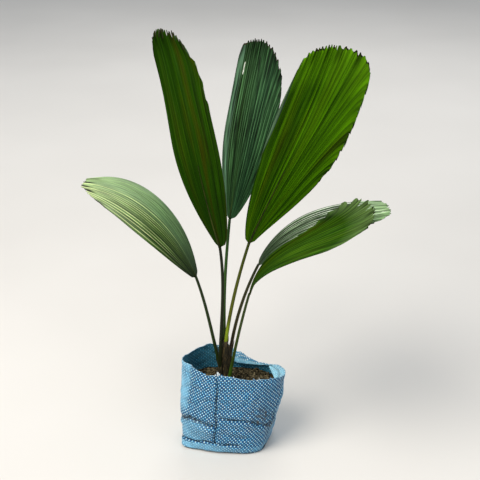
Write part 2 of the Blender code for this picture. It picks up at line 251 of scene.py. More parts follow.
def hex_colour(code):
    """Linear red, green, blue and alpha of an sRGB hex colour"""
    parts = [int(code[i : i + 2], 16) / 255 for i in (1, 3, 5)]
    return (*(c / 12.92 if c <= 0.04045 else ((c + 0.055) / 1.055) ** 2.4 for c in parts), 1)


def feed(tree, socket, value):
    """Gives a socket a plain value or a hex colour, or links a node or an output to it"""
    if isinstance(value, bpy.types.Node):
        value = next(output for output in value.outputs if output.enabled)
    if isinstance(value, bpy.types.NodeSocket):
        tree.links.new(value, socket)
    else:
        socket.default_value = hex_colour(value) if isinstance(value, str) else value


def add_node(tree, kind, inputs=(), stops=(), **settings):
    """A node with its settings; its inputs are in the order of its sockets, or by their names"""
    node = tree.nodes.new("ShaderNode" + kind)
    for key, value in settings.items():
        setattr(node, key, value)
    sockets = [socket for socket in node.inputs if socket.enabled]
    if isinstance(inputs, dict):
        sockets = [node.inputs[key] for key in inputs]
        inputs = inputs.values()
    for socket, value in zip(sockets, inputs):
        feed(tree, socket, value)
    for i, (place, code) in enumerate(stops):
        stop = node.color_ramp.elements[i] if i < 2 else node.color_ramp.elements.new(place)
        stop.position = place
        stop.color = hex_colour(code)
    return node


def new_finish(name):
    """A material, and the call that adds a node to it"""
    material = bpy.data.materials.new(name)
    material.use_nodes = True
    return material, partial(add_node, material.node_tree)


def coat(material, **inputs):
    """Feeds the material's shader, whose plain values are set on its own sockets"""
    tree = material.node_tree
    for key, value in inputs.items():
        feed(tree, tree.nodes["Principled BSDF"].inputs[key.replace("_", " ")], value)
    return material


def mottled(name, grain, detail, stops, relief=0, stretch=(1, 1, 1), **shine):
    """A finish whose colours are dealt out in blotches of this grain, which may stand in relief"""
    material, add = new_finish(name)
    place = add("VectorMath", (add("TexCoord").outputs["Object"], stretch), operation="MULTIPLY")
    blotches = add("TexNoise", (place, 1 / grain, detail))
    if relief:
        shine["Normal"] = add("Bump", {"Height": blotches, "Distance": relief})
    return coat(material, Base_Color=add("ValToRGB", [blotches], stops), **shine)


def woven_polypropylene(name, whites, blues, painted_light_tint, gap_shade_tint):
    """Extruded, slit and woven tape: smooth and a little glossy, with painted shade in the gaps at the
    crossings. One map darkens it with painted shade and pales it with painted light; another stains
    it brown.
    """
    material, add = new_finish(name)
    tapes = add("UVMap", uv_map="tapes")
    number = add("VectorMath", [tapes], operation="FLOOR")
    both = add("Math", add("SeparateXYZ", [number]).outputs[:2], operation="ADD")
    white_over = add("Math", (both, 2.0), operation="FLOORED_MODULO")
    inside = add("VectorMath", [tapes], operation="FRACTION")
    off_middle = add("VectorMath", (inside, (0.5, 0.5, 0.5)), operation="SUBTRACT")
    off_middle = add("VectorMath", [off_middle], operation="ABSOLUTE")
    edge = add("Math", add("SeparateXYZ", [off_middle]).outputs[:2], operation="MAXIMUM")
    narrower = add("Math", (white_over, 0.02, edge), operation="MULTIPLY_ADD")
    gap_shade = add("MapRange", (narrower, 0.33, 0.42))
    shade_light_and_stains = add("SeparateXYZ", [add("UVMap", uv_map="wear")])
    place = add("TexCoord").outputs["Object"]
    fade = add("TexNoise", (place, 1 / (14 * MM), 3.0))
    uneven = add("MapRange", (fade, 0.3, 0.7, 0.55, 1.15))
    pale = add("Math", (shade_light_and_stains.outputs[1], uneven), operation="MULTIPLY")
    stain = add("SeparateXYZ", [add("UVMap", uv_map="stain")])
    grit = add("TexNoise", (place, 1 / (4 * MM), 4.0))
    grit = add("MapRange", (grit, 0.35, 0.6))
    brown = add("Math", (stain.outputs[0], grit), operation="MULTIPLY")
    by_tape = add("TexWhiteNoise", [number], noise_dimensions="3D")
    colour, white = (add("Mix", (by_tape, *pair), data_type="RGBA") for pair in (blues, whites))
    # Painted shade fills the gaps between the tapes and painted light pales the cloth; brown is real staining
    for share, tint in ((white_over, white), (gap_shade, gap_shade_tint), (pale, painted_light_tint), (brown, "#3e3322")):
        colour = add("Mix", (share, colour, tint), data_type="RGBA")
    # Painted shade: the map's first channel darkens the colour
    light = add("MapRange", (shade_light_and_stains.outputs[0], 0.0, 1.0, 1.0, 0.08))
    colour = add("VectorMath", (colour, light), operation="SCALE")
    crown = add("Math", (1.0, gap_shade), operation="SUBTRACT")
    bump = add("Bump", {"Height": crown, "Distance": 0.2 * MM})
    return coat(material, Base_Color=colour, Normal=bump, Roughness=0.45, IOR=1.49, Specular_IOR_Level=0.25)


def quads(at):
    """Four-sided faces between neighbours in a grid of point numbers"""
    return np.stack([at[:-1, :-1], at[1:, :-1], at[1:, 1:], at[:-1, 1:]], -1).reshape(-1, 4).tolist()


def new_piece(name, points, faces, finishes, of_face=None, **maps):
    """A smooth mesh object; each map gives a pair of numbers at every point"""
    mesh = bpy.data.meshes.new(name)
    mesh.from_pydata(np.reshape(points, (-1, 3)).tolist(), [], faces)
    for finish in finishes:
        mesh.materials.append(finish)
    if of_face is not None:
        mesh.polygons.foreach_set("material_index", of_face)
    mesh.shade_smooth()
    corner = np.empty(len(mesh.loops), int)
    mesh.loops.foreach_get("vertex_index", corner)
    for map_name, places in maps.items():
        at = np.reshape(places, (-1, 2))[corner].astype(float)
        mesh.uv_layers.new(name=map_name).uv.foreach_set("vector", at.ravel())
    piece = bpy.data.objects.new(name, mesh)
    bpy.context.scene.collection.objects.link(piece)
    return piece


def even_angles(height, count):
    """Angles that cut the bag's outline at this height into equal runs, as its tapes do"""
    angles = np.linspace(0, math.tau, 1441)
    steps = np.linalg.norm(np.diff(bag_point(angles, height)[:, :2], axis=0), axis=-1)
    run = np.append(0, np.cumsum(steps))
    return np.interp(np.arange(count) / count * run[-1], run, angles), run[-1]


def sheet_point(angle, run):
    """Points of the sheet, run metres up the wall or, past the rim, on the folded-in flap"""
    rim = rim_height(angle)
    width = rounded(FLAP_STATIONS, angle)
    share = np.clip((run - rim) / np.maximum(width, 0.01 * MM), 0, 1)
    wall = bag_point(angle, np.minimum(run, rim))
    return np.where((run > rim)[..., None], flap_point(angle, share), wall)


def weave_sheet():
    """Grid of the sheet: its points, the way out from each, how far up each column is cut, the tape
    map, the map of painted shade, painted light and stains, and how far across the flap each point
    lies"""
    around = 2 * round(even_angles(70 * MM, 9)[1] / TAPE / 2) * TAPE_STEPS
    step = TAPE / TAPE_STEPS
    upright = int((RIM_STATIONS[:, 1].max() * MM + FLAP_WIDEST) / step) + 2
    whole = np.arange(upright) * step
    lowest_rim = RIM_STATIONS[:, 1].min() * MM
    angles = np.stack([even_angles(min(run, lowest_rim), around)[0] for run in whole], -1)
    chance = np.random.default_rng(BAG_SEED)
    frayed = chance.normal(0, RAGGED_RIM, around // TAPE_STEPS).repeat(TAPE_STEPS)
    flap = rounded(FLAP_STATIONS, angles[:, -1])
    length = rim_height(angles[:, -1]) + flap + frayed * (flap <= 0)
    cut = np.ceil(length / step).astype(int)
    runs = np.minimum(whole, length[:, None])
    angles = np.take_along_axis(angles, np.minimum(np.arange(upright), cut[:, None]), 1)
    points = sheet_point(angles, runs)
    along = np.roll(points, -1, 0) - np.roll(points, 1, 0)
    out = unit(np.cross(along, np.gradient(sheet_point(angles, whole + 0 * angles), axis=1)))
    # A clipped column has no upward run of its own, so it looks the way of the row below
    for j in range(1, upright):
        lost = np.linalg.norm(out[:, j], axis=-1) < 0.5
        out[lost, j] = out[lost, j - 1]
    mid_round, mid_up = (np.arange(n) % TAPE_STEPS == TAPE_STEPS // 2 for n in (around, upright))
    crown = TAPE_CROWN * (mid_round[:, None].astype(float) + mid_up - 1) * (whole > 0)
    past_rim = runs - rim_height(angles)
    on_flap = smooth_step(past_rim / (5 * MM))
    level = smooth_step((points[..., 2:] - 6 * MM) / (10 * MM))
    way = out * np.concatenate([np.ones_like(points[..., :2]), level], -1)
    dent, shade_light_and_stains = crease(points, angles)
    moved = points + (dent * (1 - on_flap))[..., None] * way + crown[..., None] * out
    # The flap is paled with painted light, which grows towards its free edge, where it also stands for the
    # white of the cut tape; no painted shade falls on it
    free = np.clip(past_rim / np.maximum(flap, MM)[:, None], 0, 1)
    shade_light_and_stains[..., 1] = np.maximum(shade_light_and_stains[..., 1], on_flap * blend(0.2, 0.95, smooth_step((free - 0.6) / 0.25)))
    shade_light_and_stains[..., 0] *= 1 - on_flap
    return moved, out, cut, runs / TAPE, shade_light_and_stains, free


def add_bag():
    points, out, cut, heights, shade_light_and_stains, free = weave_sheet()
    around, upright = points.shape[:2]
    inner_foot = int(INNER_WALL_FOOT / TAPE) * TAPE_STEPS
    spots = []
    tapes = []
    wears = []

    def column(i, rows, places, size):
        """Numbers of a column's new points, with the last one repeated to fill up the size"""
        first = len(spots)
        spots.extend(places)
        tapes.extend((i / TAPE_STEPS, height) for height in heights[i % around, rows])
        wears.extend(shade_light_and_stains[i % around, rows])
        return [first + min(n, len(rows) - 1) for n in range(size)]

    outer = []
    inner = []
    # The last column lies on the first, so that the tapes can be counted right round
    for i in range(around + 1):
        n = i % around
        rows = [*range(cut[n] + 1)]
        outer.append(column(i, rows, points[n, rows], upright))
        rows = [0, inner_foot, *rows[inner_foot:]]
        places = points[n, rows] - out[n, rows] * SHEET
        inset = out[n, inner_foot] * (1, 1, 0) * INNER_INSET
        places[0] = points[n, 1] * (1, 1, 0) - inset + UP * SHEET
        places[1] = points[n, inner_foot] - inset - UP * INNER_INSET
        inner.append(column(i, rows, places, upright - inner_foot + 2))
    outer = np.array(outer)
    inner = np.array(inner)
    faces = []
    of_face = []
    for group, kinds in (
        (quads(outer), np.where(free[:, 1:] > 0.02, 3, 0).ravel().tolist()),
        (quads(inner.T), repeat(1)),
        (quads(np.stack([outer[:, -1], inner[:, -1]], 1)), repeat(2)),
        ([outer[-2::-1, 0].tolist(), inner[:-1, 0].tolist()], (0, 1)),
    ):
        for corners, kind in zip(group, kinds):
            # At the cut some corners fall together, and the face loses a side or all of itself
            kept = list(dict.fromkeys(corners))
            if len(kept) > 2:
                faces.append(kept)
                of_face.append(kind)
    wears = np.array(wears)
    finishes = [TAPE_CLOTH, SHADED_INNER_CLOTH, CUT_EDGE, PAINTED_LIGHT_CLOTH]
    bag = new_piece("woven_bag", spots, faces, finishes, of_face, tapes=tapes, wear=wears[:, :2],
                    stain=wears[:, 2:].repeat(2, 1))
    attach(bag, "root")
    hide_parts("grow_bag")


# The inner side's cloth is darker, painted shade inside the bag; the paler cloth of the flap's free part and
# of the corner fold is painted light, for cloth that faces up to the light
TAPE_CLOTH = woven_polypropylene("woven tape, outer side", ("#86d6fa", "#c4eeff"),
                                 ("#085896", "#1c7cbc"), "#84c4e4", "#031828")
PAINTED_LIGHT_CLOTH = woven_polypropylene("woven tape, pale with painted light", ("#c4ecf8", "#f0fbfe"),
                                     ("#1f80b8", "#48a8d8"), "#9adcf0", "#0c3c5c")
SHADED_INNER_CLOTH = woven_polypropylene("woven tape, inner side in painted shade", ("#489cbe", "#74bcd6"),
                                  ("#126a90", "#208ab2"), "#62a5b4", "#08303c")
# The tapes' cut ends are bruised white, with blue between
CUT_EDGE = mottled("cut edge", 3 * MM, 2.0, ((0.4, "#4a8cb4"), (0.58, "#cfeaf4")), Roughness=0.5, IOR=1.49)
add_bag()

# Frayed tape ends
# Where the tube was cut, single tapes work loose from the weave and stand up or hang over the
# rim, most of all in a white tuft on the upright seam. They look like narrow curling ribbons.

FRAY_SEED = 21
FRAY_COUNT = 26
FRAY_TUFT_COUNT = 9
FRAY_TUFT_ANGLE = math.radians(253)
FRAY_ANGLES = (math.radians(118), math.radians(320))
FRAY_LENGTHS = (1.2 * MM, 4.0 * MM)
FRAY_TUFT_LENGTH = 5.5 * MM
FRAY_WIDTHS = (0.5 * MM, 1.6 * MM)
FRAY_TUFT_WIDTH = 1.3  # how much wider the tuft's tapes are
FRAY_THICKNESS = 0.12 * MM
FRAY_ROOT_DEPTH = 0.4 * MM
FRAY_STEPS = 5
FRAY_BLUE_SHARE = 0.6


def tube_faces(rings, sides):
    """Faces of a closed tube whose points run ring by ring: its wall and its two ends"""
    at = np.arange(rings * sides).reshape(rings, sides)
    return quads(np.append(at, at[:, :1], 1).T) + [at[0, ::-1].tolist(), at[-1].tolist()]


def join(spots, faces, more_spots, more_faces):
    """Adds a shape's points and faces to a piece's lists"""
    faces += [[corner + len(spots) for corner in face] for face in more_faces]
    spots += np.reshape(more_spots, (-1, 3)).tolist()


def add_frayed_ends():
    chance = np.random.default_rng(FRAY_SEED)
    spots = []
    faces = []
    of_face = []
    ribbon = tube_faces(FRAY_STEPS + 1, 4)
    share = np.linspace(0, 1, FRAY_STEPS + 1)[:, None]
    for n in range(FRAY_COUNT):
        in_tuft = n < FRAY_TUFT_COUNT
        angle = FRAY_TUFT_ANGLE + chance.normal(0, 0.035) if in_tuft else chance.uniform(*FRAY_ANGLES)
        outward = np.array([math.cos(angle), math.sin(angle), 0])
        sideways = np.array([-math.sin(angle), math.cos(angle), 0])
        root = bag_point(angle, rim_height(angle) - FRAY_ROOT_DEPTH)
        root = root + (crease(root, angle)[0] - 0.3 * MM) * outward
        length = FRAY_TUFT_LENGTH * chance.uniform(0.5, 1) if in_tuft else chance.uniform(*FRAY_LENGTHS)
        width = chance.uniform(*FRAY_WIDTHS) * (FRAY_TUFT_WIDTH if in_tuft else 1)
        lean, curl, tilt = (chance.normal(0, spread) for spread in (0.5, 1.3, 0.3))
        way = lean + curl * share
        onward = UP * np.cos(way) + outward * np.sin(way) + sideways * tilt
        path = root + np.cumsum(np.append([[0, 0, 0]], onward[:-1], 0), 0) * length / FRAY_STEPS
        half = sideways * width / 2 * (1 - 0.5 * share**2)
        thick = (outward * np.cos(way) - UP * np.sin(way)) * FRAY_THICKNESS / 2
        corners = np.stack([-half - thick, half - thick, half + thick, thick - half], 1)
        join(spots, faces, path[:, None] + corners, ribbon)
        of_face += [int(not in_tuft and chance.random() < FRAY_BLUE_SHARE)] * len(ribbon)
    finishes = [
        mottled(name, 0.8 * MM, 2.0, ((0.3, deep), (0.7, pale)), Roughness=0.4, IOR=1.49)
        for name, deep, pale in (
            ("white tape end", "#cfdfe4", "#f4f8f8"),
            ("blue tape end", "#2b7dbc", "#57a5d8"),
        )
    ]
    ends = new_piece("frayed_tape_ends", spots, faces, finishes, of_face)
    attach(ends, "root")


add_frayed_ends()

# Corner fold
# At the rim's right end the spare sheet is folded in over the soil in one flat, nearly level
# panel. It is the same cloth, pale blue with painted light where it faces up, with one sharp fold
# across it that holds painted shade.

FOLD_ENDS = (math.radians(-34), math.radians(34))
FOLD_INNER = np.array(((66, -24, 115), (59, 20, 108))) * MM
FOLD_SIZE = (46 * MM, 18 * MM)
FOLD_FIRST_TAPE = (40, 60)
FOLD_STEPS = 22
FOLD_ROWS = 10
FOLD_THICKNESS = 0.6 * MM


def sheet_faces(columns, rows, closed=False):
    """Faces of a thin sheet, whose points run column by column, first its upper and then its lower
    skin: both skins, taken in turn, and the rim. A closed sheet's last column joins its first."""
    at = np.arange(columns * rows).reshape(columns, rows)
    under = columns * rows
    if closed:
        at = np.append(at, at[:1], 0)
    borders = [at[:, 0], at[::-1, -1]]
    if not closed:
        borders += [at[-1], at[0, ::-1]]
    faces = [face for a, b, c, d in quads(at)
             for face in ([a, b, c, d], [under + a, under + d, under + c, under + b])]
    rim = [[a, under + a, under + b, b] for run in borders for a, b in zip(run.tolist(), run[1:].tolist())]
    return faces + rim


def add_corner_fold():
    share = np.linspace(0, 1, FOLD_STEPS + 1)[:, None]
    row = np.linspace(0, 1, FOLD_ROWS + 1) + 0 * share
    angle = blend(*FOLD_ENDS, share)
    outward = np.stack([np.cos(angle), np.sin(angle), 0 * angle], -1)
    rim = bag_point(angle, rim_height(angle)) - outward * 0.3 * MM
    inner = blend(*FOLD_INNER, share)[:, None]
    crack = bell(row - 0.35 - 0.3 * share, 0.09)
    lift = 0.5 + 1.6 * np.sin(math.pi * row) * np.sin(math.pi * share) - 1.5 * crack
    upper = blend(rim, inner, row[..., None]) + UP * lift[..., None] * MM
    spots = np.stack([upper, upper - UP * FOLD_THICKNESS]).reshape(-1, 3)
    tapes = [FOLD_FIRST_TAPE[0] + share * FOLD_SIZE[0] / TAPE + 0 * row,
             FOLD_FIRST_TAPE[1] - row * FOLD_SIZE[1] / TAPE]
    # Painted shade in the fold's crack, and painted light that grows towards the panel's inner edge
    wears = [0.55 * crack, blend(0.55, 0.95, row)]
    tapes, wears = (np.tile(np.stack(pair, -1).reshape(-1, 2), (2, 1)) for pair in (tapes, wears))
    fold = new_piece("corner_fold", spots, sheet_faces(FOLD_STEPS + 1, FOLD_ROWS + 1), [PAINTED_LIGHT_CLOTH],
                     tapes=tapes, wear=wears, stain=0 * wears)
    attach(fold, "root")


add_corner_fold()

# Soil
# Nursery mix of loam, sand and fine bark, filled loose and settled by watering. It is crumbly
# and dry on top, so it looks matt, lumpy and mixed in colour.

SOIL_LEVEL = 90 * MM
SOIL_SIDE_GAP = 0.9 * MM
SOIL_HIDDEN_GAP = 9 * MM  # clear of the creases, where the bag hides the soil
SOIL_HIDDEN_HEIGHTS = (2 * MM, 8 * MM, 30 * MM, 60 * MM)
SOIL_SEED = 5
SOIL_ROUND = 96
SOIL_RINGS = 26
CRUMBS = 1100
CRUMB_SIZES = (0.7 * MM, 2.6 * MM)
CRUMB_REACH = 0.93  # share of the way to the bag's wall
STEM_PLACE = np.array((-4 * MM, 0, SOIL_LEVEL + 0.3 * MM))


def potting_soil():
    """Dry crumbs of several greyish browns; nothing in it shines"""
    material, add = new_finish("potting soil")
    place = add("TexCoord").outputs["Object"]
    crumbs = add("TexVoronoi", (place, 1 / (2.2 * MM)))
    grain = add("TexNoise", (place, 1 / (5 * MM), 6.0))
    mixed = add("Mix", (0.5, add("SeparateColor", [crumbs.outputs["Color"]]), grain))
    browns = ((0.25, "#1a1811"), (0.42, "#3a3425"), (0.58, "#5c523b"), (0.78, "#8c7d5e"))
    bump = add("Bump", {"Height": grain, "Distance": 0.8 * MM})
    return coat(material, Base_Color=add("ValToRGB", [mixed], browns), Normal=bump, Roughness=0.95,
                IOR=1.45, Specular_IOR_Level=0.1)


def soil_height(spot):
    """Height of the soil's rough top, hollow towards the wall"""
    middle = np.linalg.norm(spot[..., :2] - STEM_PLACE[:2], axis=-1)
    lumps = 1.1 * ripples(spot, 22 * MM, SOIL_SEED) + 0.5 * ripples(spot, 6 * MM, SOIL_SEED + 1)
    return SOIL_LEVEL + lumps * MM - 1.4 * MM * smooth_step(middle / (60 * MM))


def add_soil():
    angles = np.linspace(0, math.tau, SOIL_ROUND, endpoint=False)
    inward = -np.stack([np.cos(angles), np.sin(angles), 0 * angles], -1)
    wall = bag_point(angles, SOIL_LEVEL) * (1, 1, 0) + inward * (SHEET + SOIL_SIDE_GAP)
    middle = STEM_PLACE * (1, 1, 0)
    spots = [bag_point(angles, height) + inward * (SHEET + SOIL_HIDDEN_GAP) for height in SOIL_HIDDEN_HEIGHTS]
    for ring in range(SOIL_RINGS, 0, -1):
        around = blend(middle, wall, ring / SOIL_RINGS)
        around[:, 2] = soil_height(around)
        spots.append(around)
    faces = tube_faces(len(spots), SOIL_ROUND)[:-1]
    top = (len(spots) - 1) * SOIL_ROUND
    peak = top + SOIL_ROUND
    faces += [[peak, top + i, top + (i + 1) % SOIL_ROUND] for i in range(SOIL_ROUND)]
    spots.append([middle + UP * soil_height(middle)])
    soil = new_piece("soil_fill", np.concatenate(spots), faces, [SOIL_MIX])
    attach(soil, "root")
    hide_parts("soil")


def add_crumbs():
    """Loose crumbs and grit that lie on the soil, each a lumpy twenty-sided pebble"""
    chance = np.random.default_rng(SOIL_SEED)
    pebble = bmesh.new()
    bmesh.ops.create_icosphere(pebble, subdivisions=1, radius=1)
    corners = np.array([v.co for v in pebble.verts])
    triples = [[v.index for v in f.verts] for f in pebble.faces]
    pebble.free()
    spots = []
    faces = []
    for _ in range(CRUMBS):
        wall = bag_point(chance.uniform(0, math.tau), SOIL_LEVEL)[:2] * CRUMB_REACH
        spot = blend(STEM_PLACE[:2], wall, math.sqrt(chance.uniform(0.02, 1)))
        size = blend(*CRUMB_SIZES, chance.uniform(0, 1) ** 2.2)
        stretch = chance.uniform(0.6, 1.2, 3)
        lumps = chance.uniform(0.75, 1.15, (len(corners), 1))
        height = soil_height(np.array([*spot, SOIL_LEVEL])) + size * 0.25
        join(spots, faces, corners * lumps * stretch * size + (*spot, height), triples)
    crumbs = new_piece("soil_crumbs", spots, faces, [SOIL_MIX])
    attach(crumbs, "root")


SOIL_MIX = potting_soil()
add_soil()
add_crumbs()

# Leaves
# Six palm leaves, each a stalk and one blade of about twenty narrow pleats, joined edge to edge
# and free only at their toothed ends. The upper side is waxed and blue-green, and the lower
# side plain and yellow-green. What both of a leaf's pieces need is worked out here.

SPINE_STEPS = 32
FOOT_GAP = 0.3 * MM
TIP_GAP = 0.7 * MM
NECK_GAP = 0.2 * MM
STEM_HEIGHT = 66 * MM
STEM_PROFILE = np.array(
    ((0, 9.6), (3, 8.3), (10, 7.0), (25, 6.3), (45, 5.9), (63, 5.6), (66, 5.2)), float
)  # height above the soil against radius, in millimetres
PETIOLE_FOOT_RADIUS = 2.5 * MM
PETIOLE_NECK_RADIUS = 1.8 * MM
PETIOLE_HANDLE = 1 / 3
STALK_RINGS = 44
STALK_SWELL = 1.1  # the real stalks are a little thicker than the plain solids

# Sizes in millimetres and degrees, as in the solids but for the outlines, which are set finer
# here. A lean is measured from upright and an azimuth from +X. Pairs are left and right half seen
# from the upper side, or neck and tip; threes are neck, middle and tip.
LEAVES = {
    "left_low": {
        "foot": {"height": 27, "side": 150, "way": 183, "lean": 13},
        "neck": (-45, 1, 266),
        "length": 211, "width": 123, "widest_at": (0.89, 0.855), "end_width": (0.96, 0.87),
        "shoulders": (0.81, 1.05), "leans": (25, 44, 89), "azimuths": (166, 171),
        "turns": (11, -18), "folds": (-2, 9), "cups": (-8, -5),
    },
    "left_tall": {
        "foot": {"height": 22, "side": 206, "way": 180, "lean": 0},
        "neck": (-11, -10, 317),
        "length": 312, "width": 102, "widest_at": (0.85, 0.56), "end_width": (0.65, 0.91),
        "shoulders": (0.935, 0.88), "leans": (16, 7, 16), "azimuths": (205, 201),
        "turns": (-40, -23), "folds": (-4, 8), "cups": (-10, 7),
    },
    "rear": {
        "foot": {"top": (-1.5, 2.9), "way": 130, "lean": 4},
        "neck": (2, 48, 333),
        "length": 256, "width": 88, "widest_at": (0.60, 0.76), "end_width": (0.99, 0.88),
        "shoulders": (0.92, 0.78), "leans": (25, 29, 30), "azimuths": (69, 66),
        "turns": (15, 12), "folds": (2, 2), "cups": (-1, -1),
    },
    "right_tall": {
        "foot": {"top": (-0.5, -2.9), "way": -10, "lean": 6},
        "neck": (29, -1, 319),
        "length": 308, "width": 109, "widest_at": (0.67, 0.80), "end_width": (0.91, 0.96),
        "shoulders": (0.83, 0.89), "leans": (22, 29, 16), "azimuths": (-24, -24),
        "turns": (51, 51), "folds": (0, 2), "cups": (3, -7),
    },
    "right_low_rear": {
        "foot": {"height": 38, "side": 55, "way": 30, "lean": 6},
        "neck": (43, 34, 269),
        "length": 206, "width": 91, "widest_at": (0.79, 0.80), "end_width": (0.85, 0.935),
        "shoulders": (0.93, 0.81), "leans": (36, 80, 83), "azimuths": (0, 1),
        "turns": (-21, -4), "folds": (-6, 11), "cups": (-6, 9),
    },
    "right_low_front": {
        "foot": {"height": 6, "side": 286, "way": -5, "lean": 9},
        "neck": (29, -20, 250),
        "length": 219, "width": 113, "widest_at": (0.90, 0.86), "end_width": (1.0, 0.84),
        "shoulders": (0.805, 0.735), "leans": (17, 79, 57), "azimuths": (-17, 6),
        "turns": (-10, -11), "folds": (4, 6), "cups": (-24, 4),
    },
}


def direction(azimuth, lean):
    """Unit vectors that lean from upright towards azimuth, both in degrees"""
    azimuth, lean = np.radians(np.broadcast_arrays(azimuth, lean))
    return np.stack([np.sin(lean) * np.cos(azimuth), np.sin(lean) * np.sin(azimuth), np.cos(lean)], -1)


def stem_radius(height):
    at, radius = STEM_PROFILE.T
    return np.interp(height / MM, at, radius) * MM


def round_stem(angle, away, height):
    """Points at angles round the stem's axis, so far away from it and so high above the soil"""
    angle, away, height = np.broadcast_arrays(angle, away, height)
    return STEM_PLACE + np.stack([np.cos(angle) * away, np.sin(angle) * away, height], -1)


def petiole_foot(foot):
    """Where a leaf stalk starts: beside the stem, or on its tip for the two inner leaves"""
    if "top" in foot:
        return STEM_PLACE + (*(place * MM for place in foot["top"]), STEM_HEIGHT + TIP_GAP)
    height = foot["height"] * MM
    away = stem_radius(height) + FOOT_GAP + PETIOLE_FOOT_RADIUS
    return round_stem(math.radians(foot["side"]), away, height)


def stalk_path(leaf):
    """Points of one curve that leaves the stem upright and runs on into the blade's spine"""
    foot = petiole_foot(leaf["foot"])
    spine_way = direction(leaf["azimuths"][0], leaf["leans"][0])
    end = np.array(leaf["neck"]) * MM - spine_way * NECK_GAP
    hold = np.linalg.norm(end - foot) * PETIOLE_HANDLE
    start_way = direction(leaf["foot"]["way"], leaf["foot"]["lean"])
    end_way = unit(unit(end - foot) + spine_way)
    knots = np.array((foot, foot + start_way * hold, end - end_way * hold, end))
    t = np.linspace(0, 1, STALK_RINGS + 1)
    weights = np.stack([(1 - t) ** 3, 3 * t * (1 - t) ** 2, 3 * t * t * (1 - t), t**3], -1)
    return weights @ knots


def tube(path, radii, uppers, sides, section=np.ones_like):
    """Points and faces of a closed tube along a path; section scales its radius round from its side"""
    ahead = np.concatenate([path[1:], path[-1:]]) - np.concatenate([path[:1], path[:-1]])
    side = unit(np.cross(ahead, uppers))
    top = unit(np.cross(side, ahead))
    angle = np.arange(sides)[:, None] / sides * math.tau
    reach = np.reshape(radii, (-1, 1, 1)) * section(angle)
    rings = path[:, None] + (side[:, None] * np.cos(angle) + top[:, None] * np.sin(angle)) * reach
    return rings, tube_faces(len(path), sides)


# Stem
# A short upright stem, hidden by the dead and living leaf sheaths that clasp it. The sheaths are
# tough brown tissue that splits into fibres, so the stem looks dark, ragged and matt.

STEM_SIDES = 40
STEM_RINGS = 48
STEM_SUNK = 3 * MM
STEM_INSET = 0.2 * MM
SHEATH_SIDES = 16
SHEATH_ROWS = 14
SHEATH_THICKNESS = 0.5 * MM
SHEATH_DEPTH = 26 * MM  # how far down the stem a sheath shows below its stalk's foot
SHEATH_SUNK = 4 * MM  # how deep in the soil a sheath may end
SHEATH_REACHES = {  # how far up its stalk each sheath reaches, in millimetres
    "left_low": 20, "left_tall": 24, "rear": 18, "right_tall": 21, "right_low_rear": 34,
    "right_low_front": 13,
}
STEM_SEED = 31
FIBRES = 120
FIBRE_POINTS = 6


def sheath(leaf, reach, chance):
    """A leaf's sheath: a thin torn tube from low on the stem to a little way up the stalk"""
    path = stalk_path(leaf)
    run = np.append(0, np.cumsum(np.linalg.norm(np.diff(path, axis=0), axis=-1)))
    tears = reach * (1 - 0.55 * chance.uniform(0, 1, (SHEATH_SIDES, 1)) ** 1.5)
    lean = chance.uniform(0, math.tau)
    angle = np.linspace(0, math.tau, SHEATH_SIDES, endpoint=False)[:, None]
    row = np.linspace(0, 1, SHEATH_ROWS + 1)
    at = blend(-SHEATH_DEPTH, tears * (0.75 + 0.25 * np.cos(angle - lean)), row)
    spot = np.stack([np.interp(at, run, axis) for axis in path.T], -1)
    sunk = smooth_step(-at / SHEATH_DEPTH)
    spot[..., :2] = blend(spot[..., :2], STEM_PLACE[:2], sunk[..., None])
    spot[..., 2] = np.maximum(spot[..., 2] + np.minimum(at, 0), SOIL_LEVEL - SHEATH_SUNK)
    width = PETIOLE_FOOT_RADIUS * STALK_SWELL + blend(0.5, 1.5, sunk) * MM
    width += 0.6 * MM * row**6 * np.abs(np.sin(3 * angle + lean))
    outward = np.stack([np.cos(angle), np.sin(angle), 0 * angle], -1)
    skins = [spot + outward * (width - inset)[..., None] for inset in (0, SHEATH_THICKNESS)]
    return skins, sheet_faces(SHEATH_SIDES, SHEATH_ROWS + 1, closed=True)


def fibre(chance):
    """A loose fibre that runs up or across the sheaths and ends free"""
    start = chance.uniform(2 * MM, STEM_HEIGHT - 4 * MM)
    length = chance.uniform(8 * MM, 26 * MM)
    angle = chance.uniform(0, math.tau)
    wind = chance.normal(0, 0.5)
    lift = chance.uniform(0.3 * MM, 1.2 * MM)
    free = chance.uniform(0, 2.4 * MM)
    thick = chance.uniform(0.12 * MM, 0.3 * MM)
    share = np.linspace(0, 1, FIBRE_POINTS)
    height = np.minimum(start + length * share, STEM_HEIGHT + 5 * MM)
    away = stem_radius(height) + lift + free * share**2 + 0.5 * MM
    path = round_stem(angle + wind * share, away, height)
    return tube(path, thick * (1 - 0.6 * share), (math.cos(angle), math.sin(angle), 0), 4)


def add_stem():
    chance = np.random.default_rng(STEM_SEED)
    height = np.linspace(-STEM_SUNK, STEM_HEIGHT, STEM_RINGS)[:, None]
    angle = np.linspace(0, math.tau, STEM_SIDES, endpoint=False)
    rough = 0.35 * MM * np.sin(9 * angle + height / (4 * MM)) * np.sin(height / (6 * MM))
    spots = []
    faces = []
    core = round_stem(angle, stem_radius(height) - STEM_INSET + rough, height)
    join(spots, faces, core, tube_faces(STEM_RINGS, STEM_SIDES))
    for name, leaf in LEAVES.items():
        join(spots, faces, *sheath(leaf, SHEATH_REACHES[name] * MM, chance))
    for _ in range(FIBRES):
        join(spots, faces, *fibre(chance))
    stem = new_piece("sheathed_stem", spots, faces, [SHEATH_FIBRE])
    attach(stem, "root")
    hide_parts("stem")


